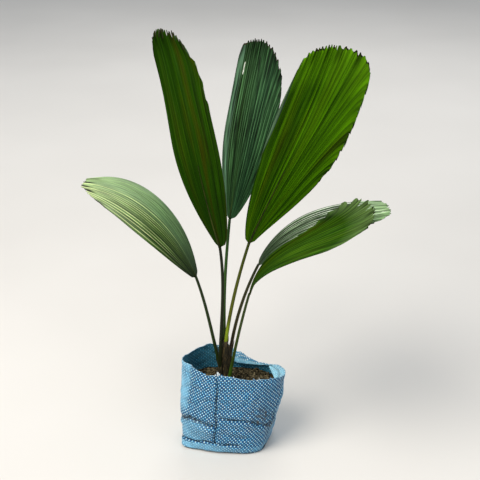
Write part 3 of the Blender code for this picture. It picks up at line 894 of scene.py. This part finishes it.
# Long brown fibres, dark between, with pale broken ends
SHEATH_FIBRE = mottled(
    "sheath fibre", 1.4 * MM, 4.0,
    ((0.3, "#0f0e06"), (0.48, "#2a2412"), (0.62, "#544526"), (0.78, "#94804e")),
    relief=0.5 * MM, stretch=(1, 1, 0.12), Roughness=0.85, IOR=1.45,
)
add_stem()

# Leaf stalks
# Firm green petioles, half round with a shallow channel on their upper side. Their skin is
# smooth and waxed; each has its own tint, from nearly black-green to olive with a lime foot.

STALK_COLOURS = {  # at the foot, in the middle and at the neck
    "left_low": ("#2c3a10", "#24370c", "#1c2c0a"),
    "left_tall": ("#1e2208", "#181f06", "#141c04"),
    "rear": ("#26380e", "#2c4a12", "#264a16"),
    "right_tall": ("#7c9018", "#54580a", "#3e4a0a"),
    "right_low_rear": ("#3b2b1b", "#3a3414", "#2a2f12"),
    "right_low_front": ("#3f5c12", "#36470f", "#2c3a0e"),
}
STALK_SIDES = 16
CHANNEL_DEPTH = 0.28  # share of the stalk's radius
CHANNEL_SPREAD = 0.55  # radians


def stalk_skin(name, foot, middle, neck):
    """Waxed green skin, finely streaked along the stalk, that changes tint from foot to neck"""
    material, add = new_finish("stalk skin " + name)
    along = add("UVMap", uv_map="stalk")
    up_stalk = add("SeparateXYZ", [along]).outputs[1]
    tint = add("ValToRGB", [up_stalk], ((0.15, foot), (1.0, neck), (0.27, middle)))
    stretched = add("VectorMath", (along, (14, 9, 1)), operation="MULTIPLY")
    streak = add("TexNoise", (stretched, 1.0, 3.0))
    shade = add("MapRange", (streak, 0.3, 0.7, 0.7, 1.25))
    skin = add("VectorMath", (tint, shade), operation="SCALE")
    bump = add("Bump", {"Height": streak, "Distance": 0.15 * MM})
    return coat(material, Base_Color=skin, Normal=bump, Roughness=0.5, IOR=1.42, Specular_IOR_Level=0.25)


def stalk_section(angle):
    """A round that is pressed in along its upper side"""
    return 1 - CHANNEL_DEPTH * bell(angle - math.pi / 2, CHANNEL_SPREAD)


def spine_of(leaf):
    """Points along the blade's middle rib, and the side and upper directions at each"""
    share = np.linspace(0, 1, SPINE_STEPS + 1)
    first, middle, last = leaf["leans"]
    lean = (1 - share) ** 2 * first + 2 * share * (1 - share) * middle + share**2 * last
    way = direction(blend(*leaf["azimuths"], share), lean)
    run = np.append([[0, 0, 0]], np.cumsum(way[:-1], 0), 0) / SPINE_STEPS
    side = unit(np.cross(way, UP))
    upper = np.cross(side, way)
    turn = np.radians(blend(*leaf["turns"], share))[:, None]
    spots = (np.array(leaf["neck"]) + run * leaf["length"]) * MM
    return spots, side * np.cos(turn) + upper * np.sin(turn), upper * np.cos(turn) - side * np.sin(turn)


def add_stalk(name, leaf):
    """A tapering stalk with its flat side towards the blade's upper side"""
    share = np.linspace(0, 1, STALK_RINGS + 1)
    radii = blend(PETIOLE_FOOT_RADIUS, PETIOLE_NECK_RADIUS, share) * STALK_SWELL
    upper = spine_of(leaf)[2][0]
    rings, faces = tube(stalk_path(leaf), radii, upper, STALK_SIDES, stalk_section)
    round_it = np.abs(np.arange(STALK_SIDES) / STALK_SIDES * 2 - 1)
    places = np.stack(np.broadcast_arrays(round_it, share[:, None]), -1)
    finish = stalk_skin(name, *STALK_COLOURS[name])
    stalk = new_piece("stalk_" + name, rings, faces, [finish], stalk=places)
    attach(stalk, "root")
    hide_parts("petiole_" + name)


for leaf_name, leaf_sizes in LEAVES.items():
    add_stalk(leaf_name, leaf_sizes)

# Leaf blades
# Each blade is thin, stiff tissue pleated along its ribs, like a folded paper fan that was never
# cut into fingers. Towards the margin the ribs run out one after the other, each in a short dark
# tooth. The upper side has a bluish wax; the lower side is bare and yellow-green.

BLADE_ROWS = 96
BLADE_THICKNESS = 0.5 * MM  # real tissue is about 0.3 mm
BASE_WIDTH_SHARE = 0.085
NECK_WIDTH_SHARE = 0.45  # how much narrower still the blade starts, and how soon that is over
NECK_END = 0.018
FAN_POWER = 2.3  # how suddenly spreading ribs turn out to the margin
WIDEST_FAN = 1.05  # half widths
EDGE_BEND = 0.05  # half widths in which the sheet bends at an edge
PLEAT_DEPTH = 0.85 * MM
PLEATS_FULL_AT = 0.3
TIP_PLEATS = (0.86, 0.98)  # shares of the length between which the pleats grow deep again
PLEAT_WIDTHS = (0.75, 1.25)
PLEAT_STRENGTHS = (0.5, 1.25)
EVERY_OTHER = 0.65  # how strong every other pleat is
# Places across one pleat, from fold to fold; how much of a tooth's depth each stops short at the
# end; and how high each stands, from the low folds to the rib
PLEAT_PLACES = (0.0, 0.14, 0.27, 0.36, 0.44, 0.5, 0.56, 0.64, 0.73, 0.86)
PLEAT_NOTCHES = (1.0, 0.95, 0.7, 0.12, 0.0, 0.15, 0.0, 0.12, 0.7, 0.95)
PLEAT_LEVELS = (-1.0, -0.5, 0.0, 0.3, 0.7, 1.2, 0.7, 0.3, 0.0, -0.5)
TOOTH_DEPTH = 4.2 * MM
TOOTH_DEPTHS = (0.75, 1.25)
DEEPEST_TOOTH = 0.9  # pleat widths
SIDE_TEETH_AT = 0.7  # half widths from the middle at which the teeth have their margin's size
SAW_LEVEL = 0.3  # place across a pleat that a sawn margin leaves where it is
LONGEST_SAW = 3.0  # pleat widths
TIP_REACH = 1.8 * MM  # how far the teeth's points stand past the plain outline
DRY_LENGTH = 2.4 * MM  # length of the dried points at the teeth's ends
DRY_SEED = 50
FLAP_STEPS = 6
FLAP_LEVEL = -0.6
DROOP = 0.7
KEEL_SHARE = 0.42
KEEL_SINK = 0.9 * MM
KEEL_RADII = (1.75 * MM, 0.35 * MM)
KEEL_SIDES = 10

# Colours of a skin: deep to fresh tissue, ribs, a brownish painted reflection of the orange ground,
# what it fades to at the tip, painted light and shade on the half beyond the middle rib, and a
# painted sheen on the strip along the left margin. Shares say how strongly each shows. The ribs are
# light in a band across the blade, with its middle and half width, paler tissue with a painted
# highlight on it, and grow light up to ribs_from; the tip's tint starts at tip_from. Base_shade is
# how light the base is, painted shade below 1 and painted light above; fold_shade and tip_fold how
# light the folds are below and at the tip, painted shade in them; the gathered ends' painted shade
# how dark one pleat in four is at its gathered end, vein_depth how much the veins vary, and drift
# moves the painted reflection along.
SKIN = {
    "far_half_shading": "#34562a", "far_half_shading_share": 0.0, "margin": "#34562a", "margin_share": 0.0,
    "rib_band": (0.5, 0.7), "ribs_from": 0.45, "tip_from": 0.8, "base_shade": 0.62, "fold_shade": 0.55,
    "gathered_tip_shade": 0.5, "drift": 0.0,
}
WAXED = {
    **SKIN, "deep": "#162c12", "fresh": "#34562a", "rib": "#7d9c68", "ground_reflection": "#2c4a14", "tip": "#1d3a12",
    "rib_light": 0.6, "ground_reflection_share": 0.3, "tip_share": 0.3, "vein_depth": 0.35, "tip_fold": 0.3,
    "roughness": 0.5, "gloss": 0.2,
}
BARE = {
    **SKIN, "deep": "#173600", "fresh": "#3d6c00", "rib": "#5c8c06", "ground_reflection": "#443600", "tip": "#1f3c00",
    "rib_light": 0.45, "ground_reflection_share": 0.5, "tip_share": 0.2, "vein_depth": 0.3, "tip_fold": 0.6,
    "roughness": 0.7, "gloss": 0.04,
}

# How each blade differs. Pairs are left and right half. Roundness is that of the end's outline.
# Halves and swells make a half wider, and wider at its base; lifts raise its margin near the base;
# a waist narrows it at its middle; plain is how many pleats wide the flat pleat along the margin
# is; a fan gives the share of the length from which ribs run out to the margin, and by how much
# they spread; teeth scales the margin's teeth, and saw slants them where ribs run out. Least slant
# caps how long those grow. Ragged is how unevenly the teeth end. A split gives a place across the
# blade and a depth in millimetres, and all are as many pleats wide as split_width. Dry is the share
# of teeth with a dried point. Left share is the share of the pleats on the left half, and outer
# widths says how much wider the pleats are at the margins than in the middle. Relief scales the
# pleats' depth, and ruffle is the height of the slow waves. An edge gives the half, where across it
# the sheet bends and by how many degrees; a flap is more sheet past that edge, as a share of the
# half width, and the shares of the length it runs between. The torn patches are where the sheet is
# torn and bleached, and on the right low rear leaf's tip they are painted highlight on its edges:
# pleats from and to, and shares of the length.
USUAL_LOOKS = {
    "lifts": (0.0, 0.0), "waists": (0.0, 0.0), "plain": (1.0, 1.0), "fans": ((1.0, 0.0), (1.0, 0.0)),
    "saw": 0.0, "least_slant": 0.4, "split_width": 0.16, "left_share": 0.5, "outer_widths": 1.0,
    "relief": 1.0, "edge": None, "flap": None, "torn": (), "upper": {}, "lower": {},
}
BLADE_LOOKS = {
    "left_low": {
        "seed": 1, "pleats": 19, "roundness": (1.3, 1.3), "halves": (1.0, 1.08), "swells": (0.93, 1.02),
        "plain": (1.5, 1.5), "teeth": (0.8, 0.6), "ragged": 0.7 * MM,
        "splits": ((0.12, 7), (0.24, 10), (0.38, 11), (0.5, 11), (0.62, 11), (0.8, 6)), "dry": 0.15,
        "relief": 0.6, "ruffle": 1.0 * MM,
        # Painted on this upper skin: highlight on the yellow-white ribs, a pale sheen on the half beyond the
        # middle rib, and painted shade in the folds and gathered ends at the tip and at the base
        "upper": {"deep": "#22400f", "fresh": "#4c7028", "rib": "#f4fab0", "tip": "#b8d294",
                  "far_half_shading": "#698c5c", "rib_light": 1.0, "tip_share": 0.45, "far_half_shading_share": 0.75,
                  "base_shade": 0.12, "tip_from": 0.45, "ribs_from": 0.75, "fold_shade": 0.8,
                  "vein_depth": 0.45, "tip_fold": 0.15, "gathered_tip_shade": 0.9, "rib_band": (0.28, 0.34)},
    },
    "left_tall": {
        "seed": 2, "pleats": 20, "roundness": (2.0, 2.4), "halves": (1.03, 0.89), "swells": (0.6, 0.97),
        "fans": ((0.62, 0.45), (1.0, 0.0)), "teeth": (0.5, 0.3), "ragged": 0.6 * MM, "saw": 0.4,
        "splits": ((0.2, 4), (0.3, 6), (0.4, 7), (0.5, 5), (0.6, 7), (0.7, 6), (0.8, 5)),
        "split_width": 0.3, "dry": 0.5, "ruffle": 1.4 * MM,
        # Painted on this lower skin: streaks of reflected orange ground, and painted shade on the half beyond
        # the middle rib
        "lower": {"deep": "#163200", "fresh": "#254a00", "ground_reflection_share": 0.75, "fold_shade": 0.75,
                  "rib_light": 0.25, "drift": 1.7, "far_half_shading": "#1c3e00", "far_half_shading_share": 0.75},
    },
    "rear": {
        "seed": 3, "pleats": 18, "roundness": (2.4, 1.55), "halves": (0.83, 1.18), "swells": (0.81, 0.7),
        "plain": (4.5, 1.2), "fans": ((1.0, 0.0), (0.45, 0.45)), "teeth": (0.5, 0.9),
        "ragged": 0.6 * MM, "saw": 0.5, "splits": ((0.8, 6),), "dry": 0.9,
        "torn": ((1.6, 2.0, 0.81, 0.88), (16.1, 16.3, 0.87, 0.91)),
        "ruffle": 0.8 * MM, "edge": (0, 0.62, -14),
        # Painted on this upper skin: a sheen on the pale margin strip, a teal sheen on the half beyond the
        # middle rib, and painted light at the base
        "upper": {"deep": "#12260f", "fresh": "#2b4a28", "rib": "#5e8a5a", "tip": "#0c2208",
                  "far_half_shading": "#1e442c", "roughness": 0.6, "gloss": 0.07, "margin": "#48664e",
                  "margin_share": 0.8, "rib_light": 0.45, "tip_share": 0.6, "far_half_shading_share": 0.35,
                  "base_shade": 1.6, "vein_depth": 0.85},
    },
    "right_tall": {
        "seed": 4, "pleats": 28, "roundness": (2.5, 1.9), "halves": (1.17, 0.82), "swells": (1.13, 0.74),
        "left_share": 0.57, "fans": ((0.3, 1.8), (1.0, 0.0)), "teeth": (0.7, 0.3),
        "ragged": 0.4 * MM, "least_slant": 0.8, "saw": 0.9, "outer_widths": 2.2,
        "splits": ((0.45, 3), (0.6, 3)), "dry": 0.5,
        "ruffle": 1.4 * MM, "edge": (1, 1.0, -150), "flap": (0.12, 0.5, 1.0),
        "upper": {"fresh": "#6f9478"},
        "lower": {"deep": "#224600", "fresh": "#4b7e00", "tip": "#5c9208", "tip_share": 0.8,
                  "ground_reflection_share": 0.35, "base_shade": 1.1},
    },
    "right_low_rear": {
        "seed": 5, "pleats": 17, "roundness": (1.7, 1.75), "halves": (1.13, 1.16), "swells": (0.81, 0.9),
        "plain": (1.5, 1.0), "teeth": (0.6, 0.6), "ragged": 1.0 * MM,
        "splits": ((0.3, 7), (0.45, 11), (0.6, 8), (0.75, 9)), "dry": 0.0,
        # These four pale patches at the tip are painted highlight on its edges
        "torn": ((3.2, 3.5, 0.93, 0.98), (6.1, 6.4, 0.92, 0.975), (8.6, 8.9, 0.94, 0.985),
                 (10.2, 10.4, 0.93, 0.97)),
        "ruffle": 1.0 * MM,
        # Painted on this upper skin: white highlight on the ribs and a pale sheen at the tip, with painted
        # shade in the folds there
        "upper": {"deep": "#2b4519", "fresh": "#5a8048", "rib": "#f6ffe8", "tip": "#8cb076",
                  "rib_light": 1.0, "tip_share": 0.9, "base_shade": 0.4, "vein_depth": 0.75,
                  "tip_fold": 0.25, "rib_band": (0.25, 0.45)},
    },
    "right_low_front": {
        "seed": 6, "pleats": 20, "roundness": (1.8, 2.2), "halves": (0.96, 0.99), "swells": (0.4, 1.29),
        "lifts": (0.08, -0.11), "waists": (0.47, 0.11), "plain": (1.0, 1.6),
        "fans": ((0.3, 1.1), (1.0, 0.0)), "teeth": (0.8, 0.5), "ragged": 0.8 * MM,
        "least_slant": 0.5, "saw": 0.8,
        "splits": ((0.3, 12), (0.4, 14), (0.5, 10), (0.6, 13), (0.7, 12)), "split_width": 0.3,
        "dry": 0.2, "ruffle": 1.2 * MM,
        # Painted on this upper skin: a grey sheen at the tip, and an olive painted reflection of the orange
        # ground in patches
        "upper": {"deep": "#132a00", "fresh": "#2a4900", "rib": "#547c1c", "ground_reflection": "#465200",
                  "tip": "#647e48", "far_half_shading": "#2c5612", "rib_light": 0.4, "ground_reflection_share": 0.6,
                  "tip_share": 0.8, "far_half_shading_share": 0.4, "base_shade": 0.6, "roughness": 0.65,
                  "gloss": 0.03},
    },
}


def blade_skin(name, pleats, look):
    """Leaf skin: each pleat has its own tint, long streaks, fine veins and one paler rib with a painted
    highlight; painted shade darkens the folds, the base and the gathered ends, painted light tints the
    far half and the margin strip, and a painted reflection of the orange ground lies in patches
    """
    material, add = new_finish(name)
    ribs = add("UVMap", uv_map="ribs")
    place, along, _ = add("SeparateXYZ", [ribs]).outputs
    pleat = add("Math", [place], operation="FLOOR")
    own = add("TexWhiteNoise", [pleat], noise_dimensions="1D")
    other = add("Math", (pleat, 50.5), operation="ADD")
    bright = add("TexWhiteNoise", [other], noise_dimensions="1D")
    grains = []
    for stretch, shift, detail in (((0.7, 2.6, 1), 0, 3.0), ((0.22, 1.3, 1), look["drift"], 1.0),
                                   ((3.4, 5.0, 1), 0, 2.0)):
        stretched = add("VectorMath", (ribs, stretch, (shift, 0, 0)), operation="MULTIPLY_ADD")
        grains.append(add("TexNoise", (stretched, 1.0, detail)))
    streaks, reflection_patches, veins = grains
    across_blade = add("Math", (place, 1 / pleats), operation="MULTIPLY")
    middle, reach = look["rib_band"]
    offs = []
    for where, centre in ((add("Math", [place], operation="FRACT"), 0.5), (across_blade, middle)):
        off = add("Math", (where, centre), operation="SUBTRACT")
        offs.append(add("Math", [off], operation="ABSOLUTE"))
    off_rib, off_band = offs
    # Ribs are light, paler tissue with a painted highlight, where a pleat has a strong one, inside the
    # band and once they are grown
    on_rib = add("MapRange", (off_rib, 0.03, 0.15, look["rib_light"], 0.0))
    for factor in (
        add("MapRange", (bright, 0.05, 0.5, 0.2)),
        add("MapRange", (off_band, reach - 0.12, reach, 1.0, 0.1)),
        add("MapRange", (along, 0.1, look["ribs_from"], 0.1)),
    ):
        on_rib = add("Math", (on_rib, factor), operation="MULTIPLY")
    # The strip along the left margin gets a painted sheen
    margin_sheen_strip = add("Math", (place, 0.95), operation="LESS_THAN")
    tissue = look["deep"]
    # Painted light in the tissue: a reflection of the orange ground in patches, light and shade on the half
    # beyond the middle rib, a highlight on the ribs and a sheen on the margin strip
    for tint, share in (
        ("fresh", add("MapRange", (add("Mix", (0.35, streaks, own)), 0.33, 0.66))),
        ("ground_reflection", add("MapRange", (reflection_patches, 0.5, 0.68, 0.0, look["ground_reflection_share"]))),
        ("far_half_shading", add("MapRange", (across_blade, 0.4, 0.62, 0.0, look["far_half_shading_share"]))),
        ("rib", on_rib),
        ("tip", add("MapRange", (along, look["tip_from"], 1.0, 0.0, look["tip_share"]))),
        ("margin", add("Math", (margin_sheen_strip, look["margin_share"]), operation="MULTIPLY")),
    ):
        tissue = add("Mix", (share, tissue, look[tint]), data_type="RGBA")
    # One pleat in four is gathered at its end, and painted shade darkens it there
    gathered_shade = add("Math", (pleat, 4.0), operation="MODULO")
    gathered_shade = add("Math", (gathered_shade, 0.5), operation="LESS_THAN")
    at_tip = add("MapRange", (along, 0.92, 0.97, 0.0, look["gathered_tip_shade"]))
    gathered_shade = add("Math", (gathered_shade, at_tip), operation="MULTIPLY")
    # Painted shade in the folds, deepest at the tip; at the base, base_shade paints shade below 1 and light
    # above 1
    deepest = add("MapRange", (along, 0.88, 0.97, look["fold_shade"], look["tip_fold"]))
    shade = add("MapRange", (off_rib, 0.33, 0.48, 1.0, deepest))
    for factor in (
        add("MapRange", (along, 0.0, 0.5, look["base_shade"])),
        add("Math", (1.0, gathered_shade), operation="SUBTRACT"),
        add("MapRange", (veins, 0.33, 0.67, 1 - look["vein_depth"], 1 + look["vein_depth"])),
    ):
        shade = add("Math", (shade, factor), operation="MULTIPLY")
    skin = add("VectorMath", (tissue, shade), operation="SCALE")
    bump = add("Bump", {"Height": veins, "Distance": 0.12 * MM})
    return coat(material, Base_Color=skin, Normal=bump, Roughness=look["roughness"], IOR=1.45,
                Specular_IOR_Level=look["gloss"])


def by_half(side, pair):
    """The left or the right one of a pair, as the side is on the left or the right half"""
    return np.where(side < 0, pair[0], pair[1])


def half_width(leaf, looks, side, share):
    """Half the blade's width at shares of its length: narrow at the neck, widest near the end"""
    widest = by_half(side, leaf["widest_at"])
    swell = np.sin(np.clip(share / widest, 0, 1) * math.pi / 2) ** by_half(side, looks["swells"])
    past = np.clip((share - widest) / (1 - widest), 0, 1)
    narrowed = 1 - (1 - by_half(side, leaf["end_width"])) * past**2
    width = np.where(past > 0, narrowed, blend(BASE_WIDTH_SHARE, 1, swell))
    closing = blend(NECK_WIDTH_SHARE, 1, smooth_step(share / NECK_END))
    waist = 1 - by_half(side, looks["waists"]) * np.sin(math.pi * np.clip(share, 0, 1))
    return leaf["width"] * MM / 2 * width * closing * waist * by_half(side, looks["halves"])


def rib_reach(leaf, looks, side):
    """Lengths of the blade at sides from -1 to 1 across it, as shares of its full length"""
    near = np.clip(np.abs(side), 0, 1)
    power = by_half(side, looks["roundness"])
    return blend(by_half(side, leaf["shoulders"]), 1, (1 - near**power) ** (1 / power))


def side_at(looks, side, share):
    """Where a rib that starts at this side has run to, as ribs spread out to the margin"""
    start, gain = (by_half(side, pair) for pair in zip(*looks["fans"]))
    past = np.clip((share - start) / np.maximum(1 - start, 1e-6), 0, 1)
    return np.clip(side * (1 + gain * past**FAN_POWER), -WIDEST_FAN, WIDEST_FAN)


def flat_place(leaf, looks, side, share):
    """Place on the blade laid flat of a rib at a share of its length: sideways and along"""
    side = side_at(looks, side, share)
    along = share * rib_reach(leaf, looks, side) * leaf["length"] * MM
    return np.stack([side * half_width(leaf, looks, side, share), along], -1)


def cross_section(leaf, looks, side):
    """Sideways and upward run of the blade's section at each side, in half widths"""
    steps = np.linspace(0, 1.6, 321)
    courses = []
    for half in (0, 1):
        angle = leaf["folds"][half] + leaf["cups"][half] * steps[:-1]
        if looks["edge"] and looks["edge"][0] == half:
            angle = angle + looks["edge"][2] * smooth_step((steps[:-1] - looks["edge"][1]) / EDGE_BEND)
        for part in (np.cos, np.sin):
            course = np.append(0, np.cumsum(part(np.radians(angle)) * np.diff(steps)))
            courses.append(np.interp(np.abs(side), steps, course))
    left_run, left_rise, right_run, right_rise = courses
    return by_half(side, (-left_run, right_run)), by_half(side, (left_rise, right_rise))


def blade_surface(leaf, looks):
    """Grid of the blade's middle surface, column by column across it, and the map of its pleats"""
    chance = np.random.default_rng(looks["seed"])
    pleats = looks["pleats"]
    plain = looks["plain"]
    left = looks["left_share"]
    numbers = np.arange(pleats)
    widths = chance.uniform(*PLEAT_WIDTHS, pleats)
    widths *= blend(1, looks["outer_widths"], np.abs(np.linspace(-1, 1, pleats)))
    widths /= np.where(numbers < left * pleats, 2 * left, 2 - 2 * left)
    widths[[0, -1]] *= plain
    folds = np.append(0, np.cumsum(widths))
    folds = folds / folds[-1] * 2 - 1
    strength = chance.uniform(*PLEAT_STRENGTHS, pleats)
    strength[1::2] *= EVERY_OTHER
    strength[[0, -1]] /= plain
    # Each column across the blade: its pleat, its place in pleats and its side
    pleat = np.repeat(numbers, len(PLEAT_PLACES))
    part = np.append(np.tile(PLEAT_PLACES, pleats), 0)
    place = np.append(pleat, pleats) + part
    side = np.interp(place, np.arange(pleats + 1), folds)
    height = np.append(np.tile(PLEAT_LEVELS, pleats) * strength[pleat], -strength[-1])
    start, gain = (by_half(side, pair) for pair in zip(*looks["fans"]))
    run_out = (1 / np.maximum(np.abs(side), 1e-3) - 1) / np.maximum(gain, 1e-6)
    end = blend(start, 1, np.clip(run_out, 0, 1) ** (1 / FAN_POWER))
    # How square each rib meets the margin, and so how long the teeth are along it
    tip = flat_place(leaf, looks, side, end)
    margin = np.gradient(tip, axis=0)
    rib = tip - flat_place(leaf, looks, side, end - 0.04)
    turn = np.abs(margin[:, 0] * rib[:, 1] - margin[:, 1] * rib[:, 0])
    slant = turn / np.maximum(np.linalg.norm(margin, axis=1) * np.linalg.norm(rib, axis=1), 1e-12)
    end_side = side_at(looks, side, end)
    toothed = blend(1, by_half(side, looks["teeth"]), smooth_step(np.abs(end_side) / SIDE_TEETH_AT))
    apart = np.append(np.diff(folds)[pleat], 1) * half_width(leaf, looks, end_side, end)
    depth = TOOTH_DEPTH * np.append(chance.uniform(*TOOTH_DEPTHS, pleats)[pleat], 1) * toothed
    depth = np.minimum(depth, DEEPEST_TOOTH * apart)
    sawn = by_half(side, (part, np.where(part > 0, 1 - part, 0))) - SAW_LEVEL
    sawn = np.where(gain > 0, sawn, 0) * looks["saw"] * apart
    # How far short of the plain outline each column ends
    short = np.append(np.tile(PLEAT_NOTCHES, pleats), 1.0) * depth
    short /= np.maximum(slant, looks["least_slant"])
    short += sawn * np.minimum(np.sqrt(np.maximum(1 / np.maximum(slant, 1e-3) ** 2 - 1, 0)), LONGEST_SAW)
    short += np.append(chance.normal(0, looks["ragged"], pleats)[pleat], 0) - TIP_REACH
    for where, deep in looks["splits"]:
        short += deep * MM * bell(place - round(where * pleats), looks["split_width"])
    if looks["flap"]:
        on_right = looks["edge"][0]
        more = np.arange(1, FLAP_STEPS + 1) / FLAP_STEPS
        ends = (0, FLAP_STEPS) if on_right else (FLAP_STEPS, 0)
        place = np.append(place, pleats + more) if on_right else np.append(-more[::-1], place)
        height = np.pad(height, ends, constant_values=FLAP_LEVEL)
        side, short, end = (np.pad(row, ends, mode="edge") for row in (side, short, end))
    reach = rib_reach(leaf, looks, side) * leaf["length"] * MM
    last = end - short / reach
    rows = np.linspace(0, 1, BLADE_ROWS)[None] * (last - DRY_LENGTH / reach)[:, None]
    share = np.append(rows, last[:, None], 1)
    wide = side_at(looks, side[:, None], share)
    places = place[:, None] + 0 * share
    if looks["flap"]:
        size, low, high = looks["flap"]
        past = np.clip(places - pleats if on_right else -places, 0, 1)
        window = np.sin(math.pi * np.clip((share - low) / (high - low), 0, 1)) ** 0.7
        wide = wide + np.sign(wide) * past * size * window
    along = share * rib_reach(leaf, looks, wide) * SPINE_STEPS
    step = np.clip(along.astype(int), 0, SPINE_STEPS - 1)
    past = (along - step)[..., None]
    spots, sides, uppers = (blend(row[step], row[step + 1], past) for row in spine_of(leaf))
    half = half_width(leaf, looks, wide, share)
    run, rise = cross_section(leaf, looks, wide)
    first, full = TIP_PLEATS
    pleated = smooth_step(share / PLEATS_FULL_AT) + smooth_step((share - first) / (full - first))
    droop = np.interp(place, np.arange(pleats + 1), chance.normal(0, DROOP, pleats + 1))[:, None]
    wave = share**3 * droop + wide**2 * share * np.sin(share * 9 + 1.3 * np.sign(wide))
    lift = rise * half + PLEAT_DEPTH * looks["relief"] * pleated * height[:, None] + looks["ruffle"] * wave
    lift += by_half(wide, looks["lifts"]) * np.abs(wide) * half * (1 - smooth_step(share / 0.45))
    surface = spots + sides * (run * half)[..., None] + uppers * lift[..., None]
    return surface, np.stack([places, share], -1)


def keel(leaf):
    """The stalk's end, which runs on under the blade as a tapering costa"""
    last = int(SPINE_STEPS * KEEL_SHARE)
    spots, _, uppers = (row[: last + 1] for row in spine_of(leaf))
    radii = blend(*KEEL_RADII, np.linspace(0, 1, last + 1) ** 0.7)
    return tube(spots - uppers * KEEL_SINK, radii, uppers, KEEL_SIDES)


def add_blade(name, leaf):
    looks = {**USUAL_LOOKS, **BLADE_LOOKS[name]}
    pleats = looks["pleats"]
    surface, places = blade_surface(leaf, looks)
    out = unit(np.cross(*np.gradient(surface, axis=(0, 1)))) * BLADE_THICKNESS / 2
    dry = np.random.default_rng(looks["seed"] + DRY_SEED).random(pleats + 2) < looks["dry"]
    place, share = np.moveaxis(places[:-1, :-1], -1, 0)
    kind = np.zeros(place.shape, int)
    kind[:, -1] = 3 * dry[np.clip(place[:, 0], 0, pleats).astype(int)]
    for first, last, low, high in looks["torn"]:
        kind[(first <= place) & (place < last) & (low <= share) & (share < high)] = 4
    spots = []
    faces = []
    join(spots, faces, [surface + out, surface - out], sheet_faces(*surface.shape[:2]))
    of_face = np.stack([kind, np.maximum(kind, 1)], -1).ravel().tolist()
    map_places = np.reshape([places, places], (-1, 2))
    join(spots, faces, *keel(leaf))
    of_face += [2] * (len(faces) - len(of_face))
    map_places = np.pad(map_places, ((0, len(spots) - len(map_places)), (0, 0)))
    finishes = [
        blade_skin(side + " skin " + name, pleats, {**skin, **looks[side]})
        for side, skin in (("upper", WAXED), ("lower", BARE))
    ]
    blade = new_piece("leaf_" + name, spots, faces, finishes + [LEAF_EDGE, DRY_TOOTH, TORN_TISSUE_AND_HIGHLIGHT],
                      of_face, ribs=map_places)
    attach(blade, "root")
    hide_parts("blade_" + name)


# Dead tissue, dry and matt: dark at the teeth, bleached where it is thin. The bleached white also
# paints highlight on the right low rear leaf's tip edges.
LEAF_EDGE, DRY_TOOTH, TORN_TISSUE_AND_HIGHLIGHT = (
    mottled(name, grain, 3.0, ((0.35, dark), (0.65, light)), Roughness=0.8, IOR=1.45, Specular_IOR_Level=0.2)
    for name, dark, light, grain in (
        ("leaf edge and keel", "#1c2406", "#38400c", 12 * MM),
        ("dried tooth", "#0e0c03", "#2c2408", 4 * MM),
        ("torn tissue and painted highlight", "#b8bca8", "#f2f4ea", 3 * MM),
    )
)
for leaf_name, leaf_sizes in LEAVES.items():
    add_blade(leaf_name, leaf_sizes)

# Studio
# A plain pale floor under a large soft light, with two weaker ones to fill in, as in a product
# picture on a white table.

CAMERA_PLACE = (16.5 * MM, -1290.2 * MM, 924.4 * MM)
CAMERA_DOWN = math.radians(25)
FOCAL_PIXELS = 1040  # focal length in pixels of the 480 pixel wide picture
PICTURE_PIXELS = 480
SENSOR = 36.0
FLOOR_REACH = 6.0
LAMPS = (  # name, place, size, power and tint
    ("key", (-1.1, -0.9, 2.2), 1.6, 62, "#fffaf2"),
    ("fill", (1.8, -1.6, 1.4), 2.0, 14, "#eef4ff"),
    ("back", (0.3, 2.0, 1.8), 1.6, 18, "#ffffff"),
)
LAMPS_AIM = Vector((0, 0, 0.25))


def add_studio():
    finish = mottled("studio floor", 0.5, 2.0, ((0.3, "#dcd8d2"), (0.7, "#e2ded8")), Roughness=0.9)
    corners = np.array([(-1, -1, 0), (1, -1, 0), (1, 1, 0), (-1, 1, 0)]) * FLOOR_REACH
    floor = new_piece("studio_floor", corners, [[0, 1, 2, 3]], [finish])
    for name, spot, size, power, tint in LAMPS:
        lamp = bpy.data.lights.new(name, "AREA")
        lamp.size = size
        lamp.energy = power
        lamp.color = hex_colour(tint)[:3]
        light = bpy.data.objects.new(name, lamp)
        light.location = spot
        light.rotation_euler = (LAMPS_AIM - Vector(spot)).to_track_quat("-Z", "Y").to_euler()
        bpy.context.scene.collection.objects.link(light)
    world = bpy.data.worlds.new("soft room")
    world.use_nodes = True
    sky = world.node_tree.nodes["Background"].inputs
    sky["Color"].default_value = hex_colour("#dfe6ee")
    sky["Strength"].default_value = 0.55
    bpy.context.scene.world = world
    bpy.context.scene.view_settings.view_transform = "Standard"


def add_camera():
    data = bpy.data.cameras.new("camera")
    data.sensor_width = SENSOR
    data.lens = SENSOR * FOCAL_PIXELS / PICTURE_PIXELS
    camera = bpy.data.objects.new("camera", data)
    camera.location = CAMERA_PLACE
    camera.rotation_euler = (math.pi / 2 - CAMERA_DOWN, 0, 0)
    bpy.context.scene.collection.objects.link(camera)
    bpy.context.scene.camera = camera


add_studio()
add_camera()
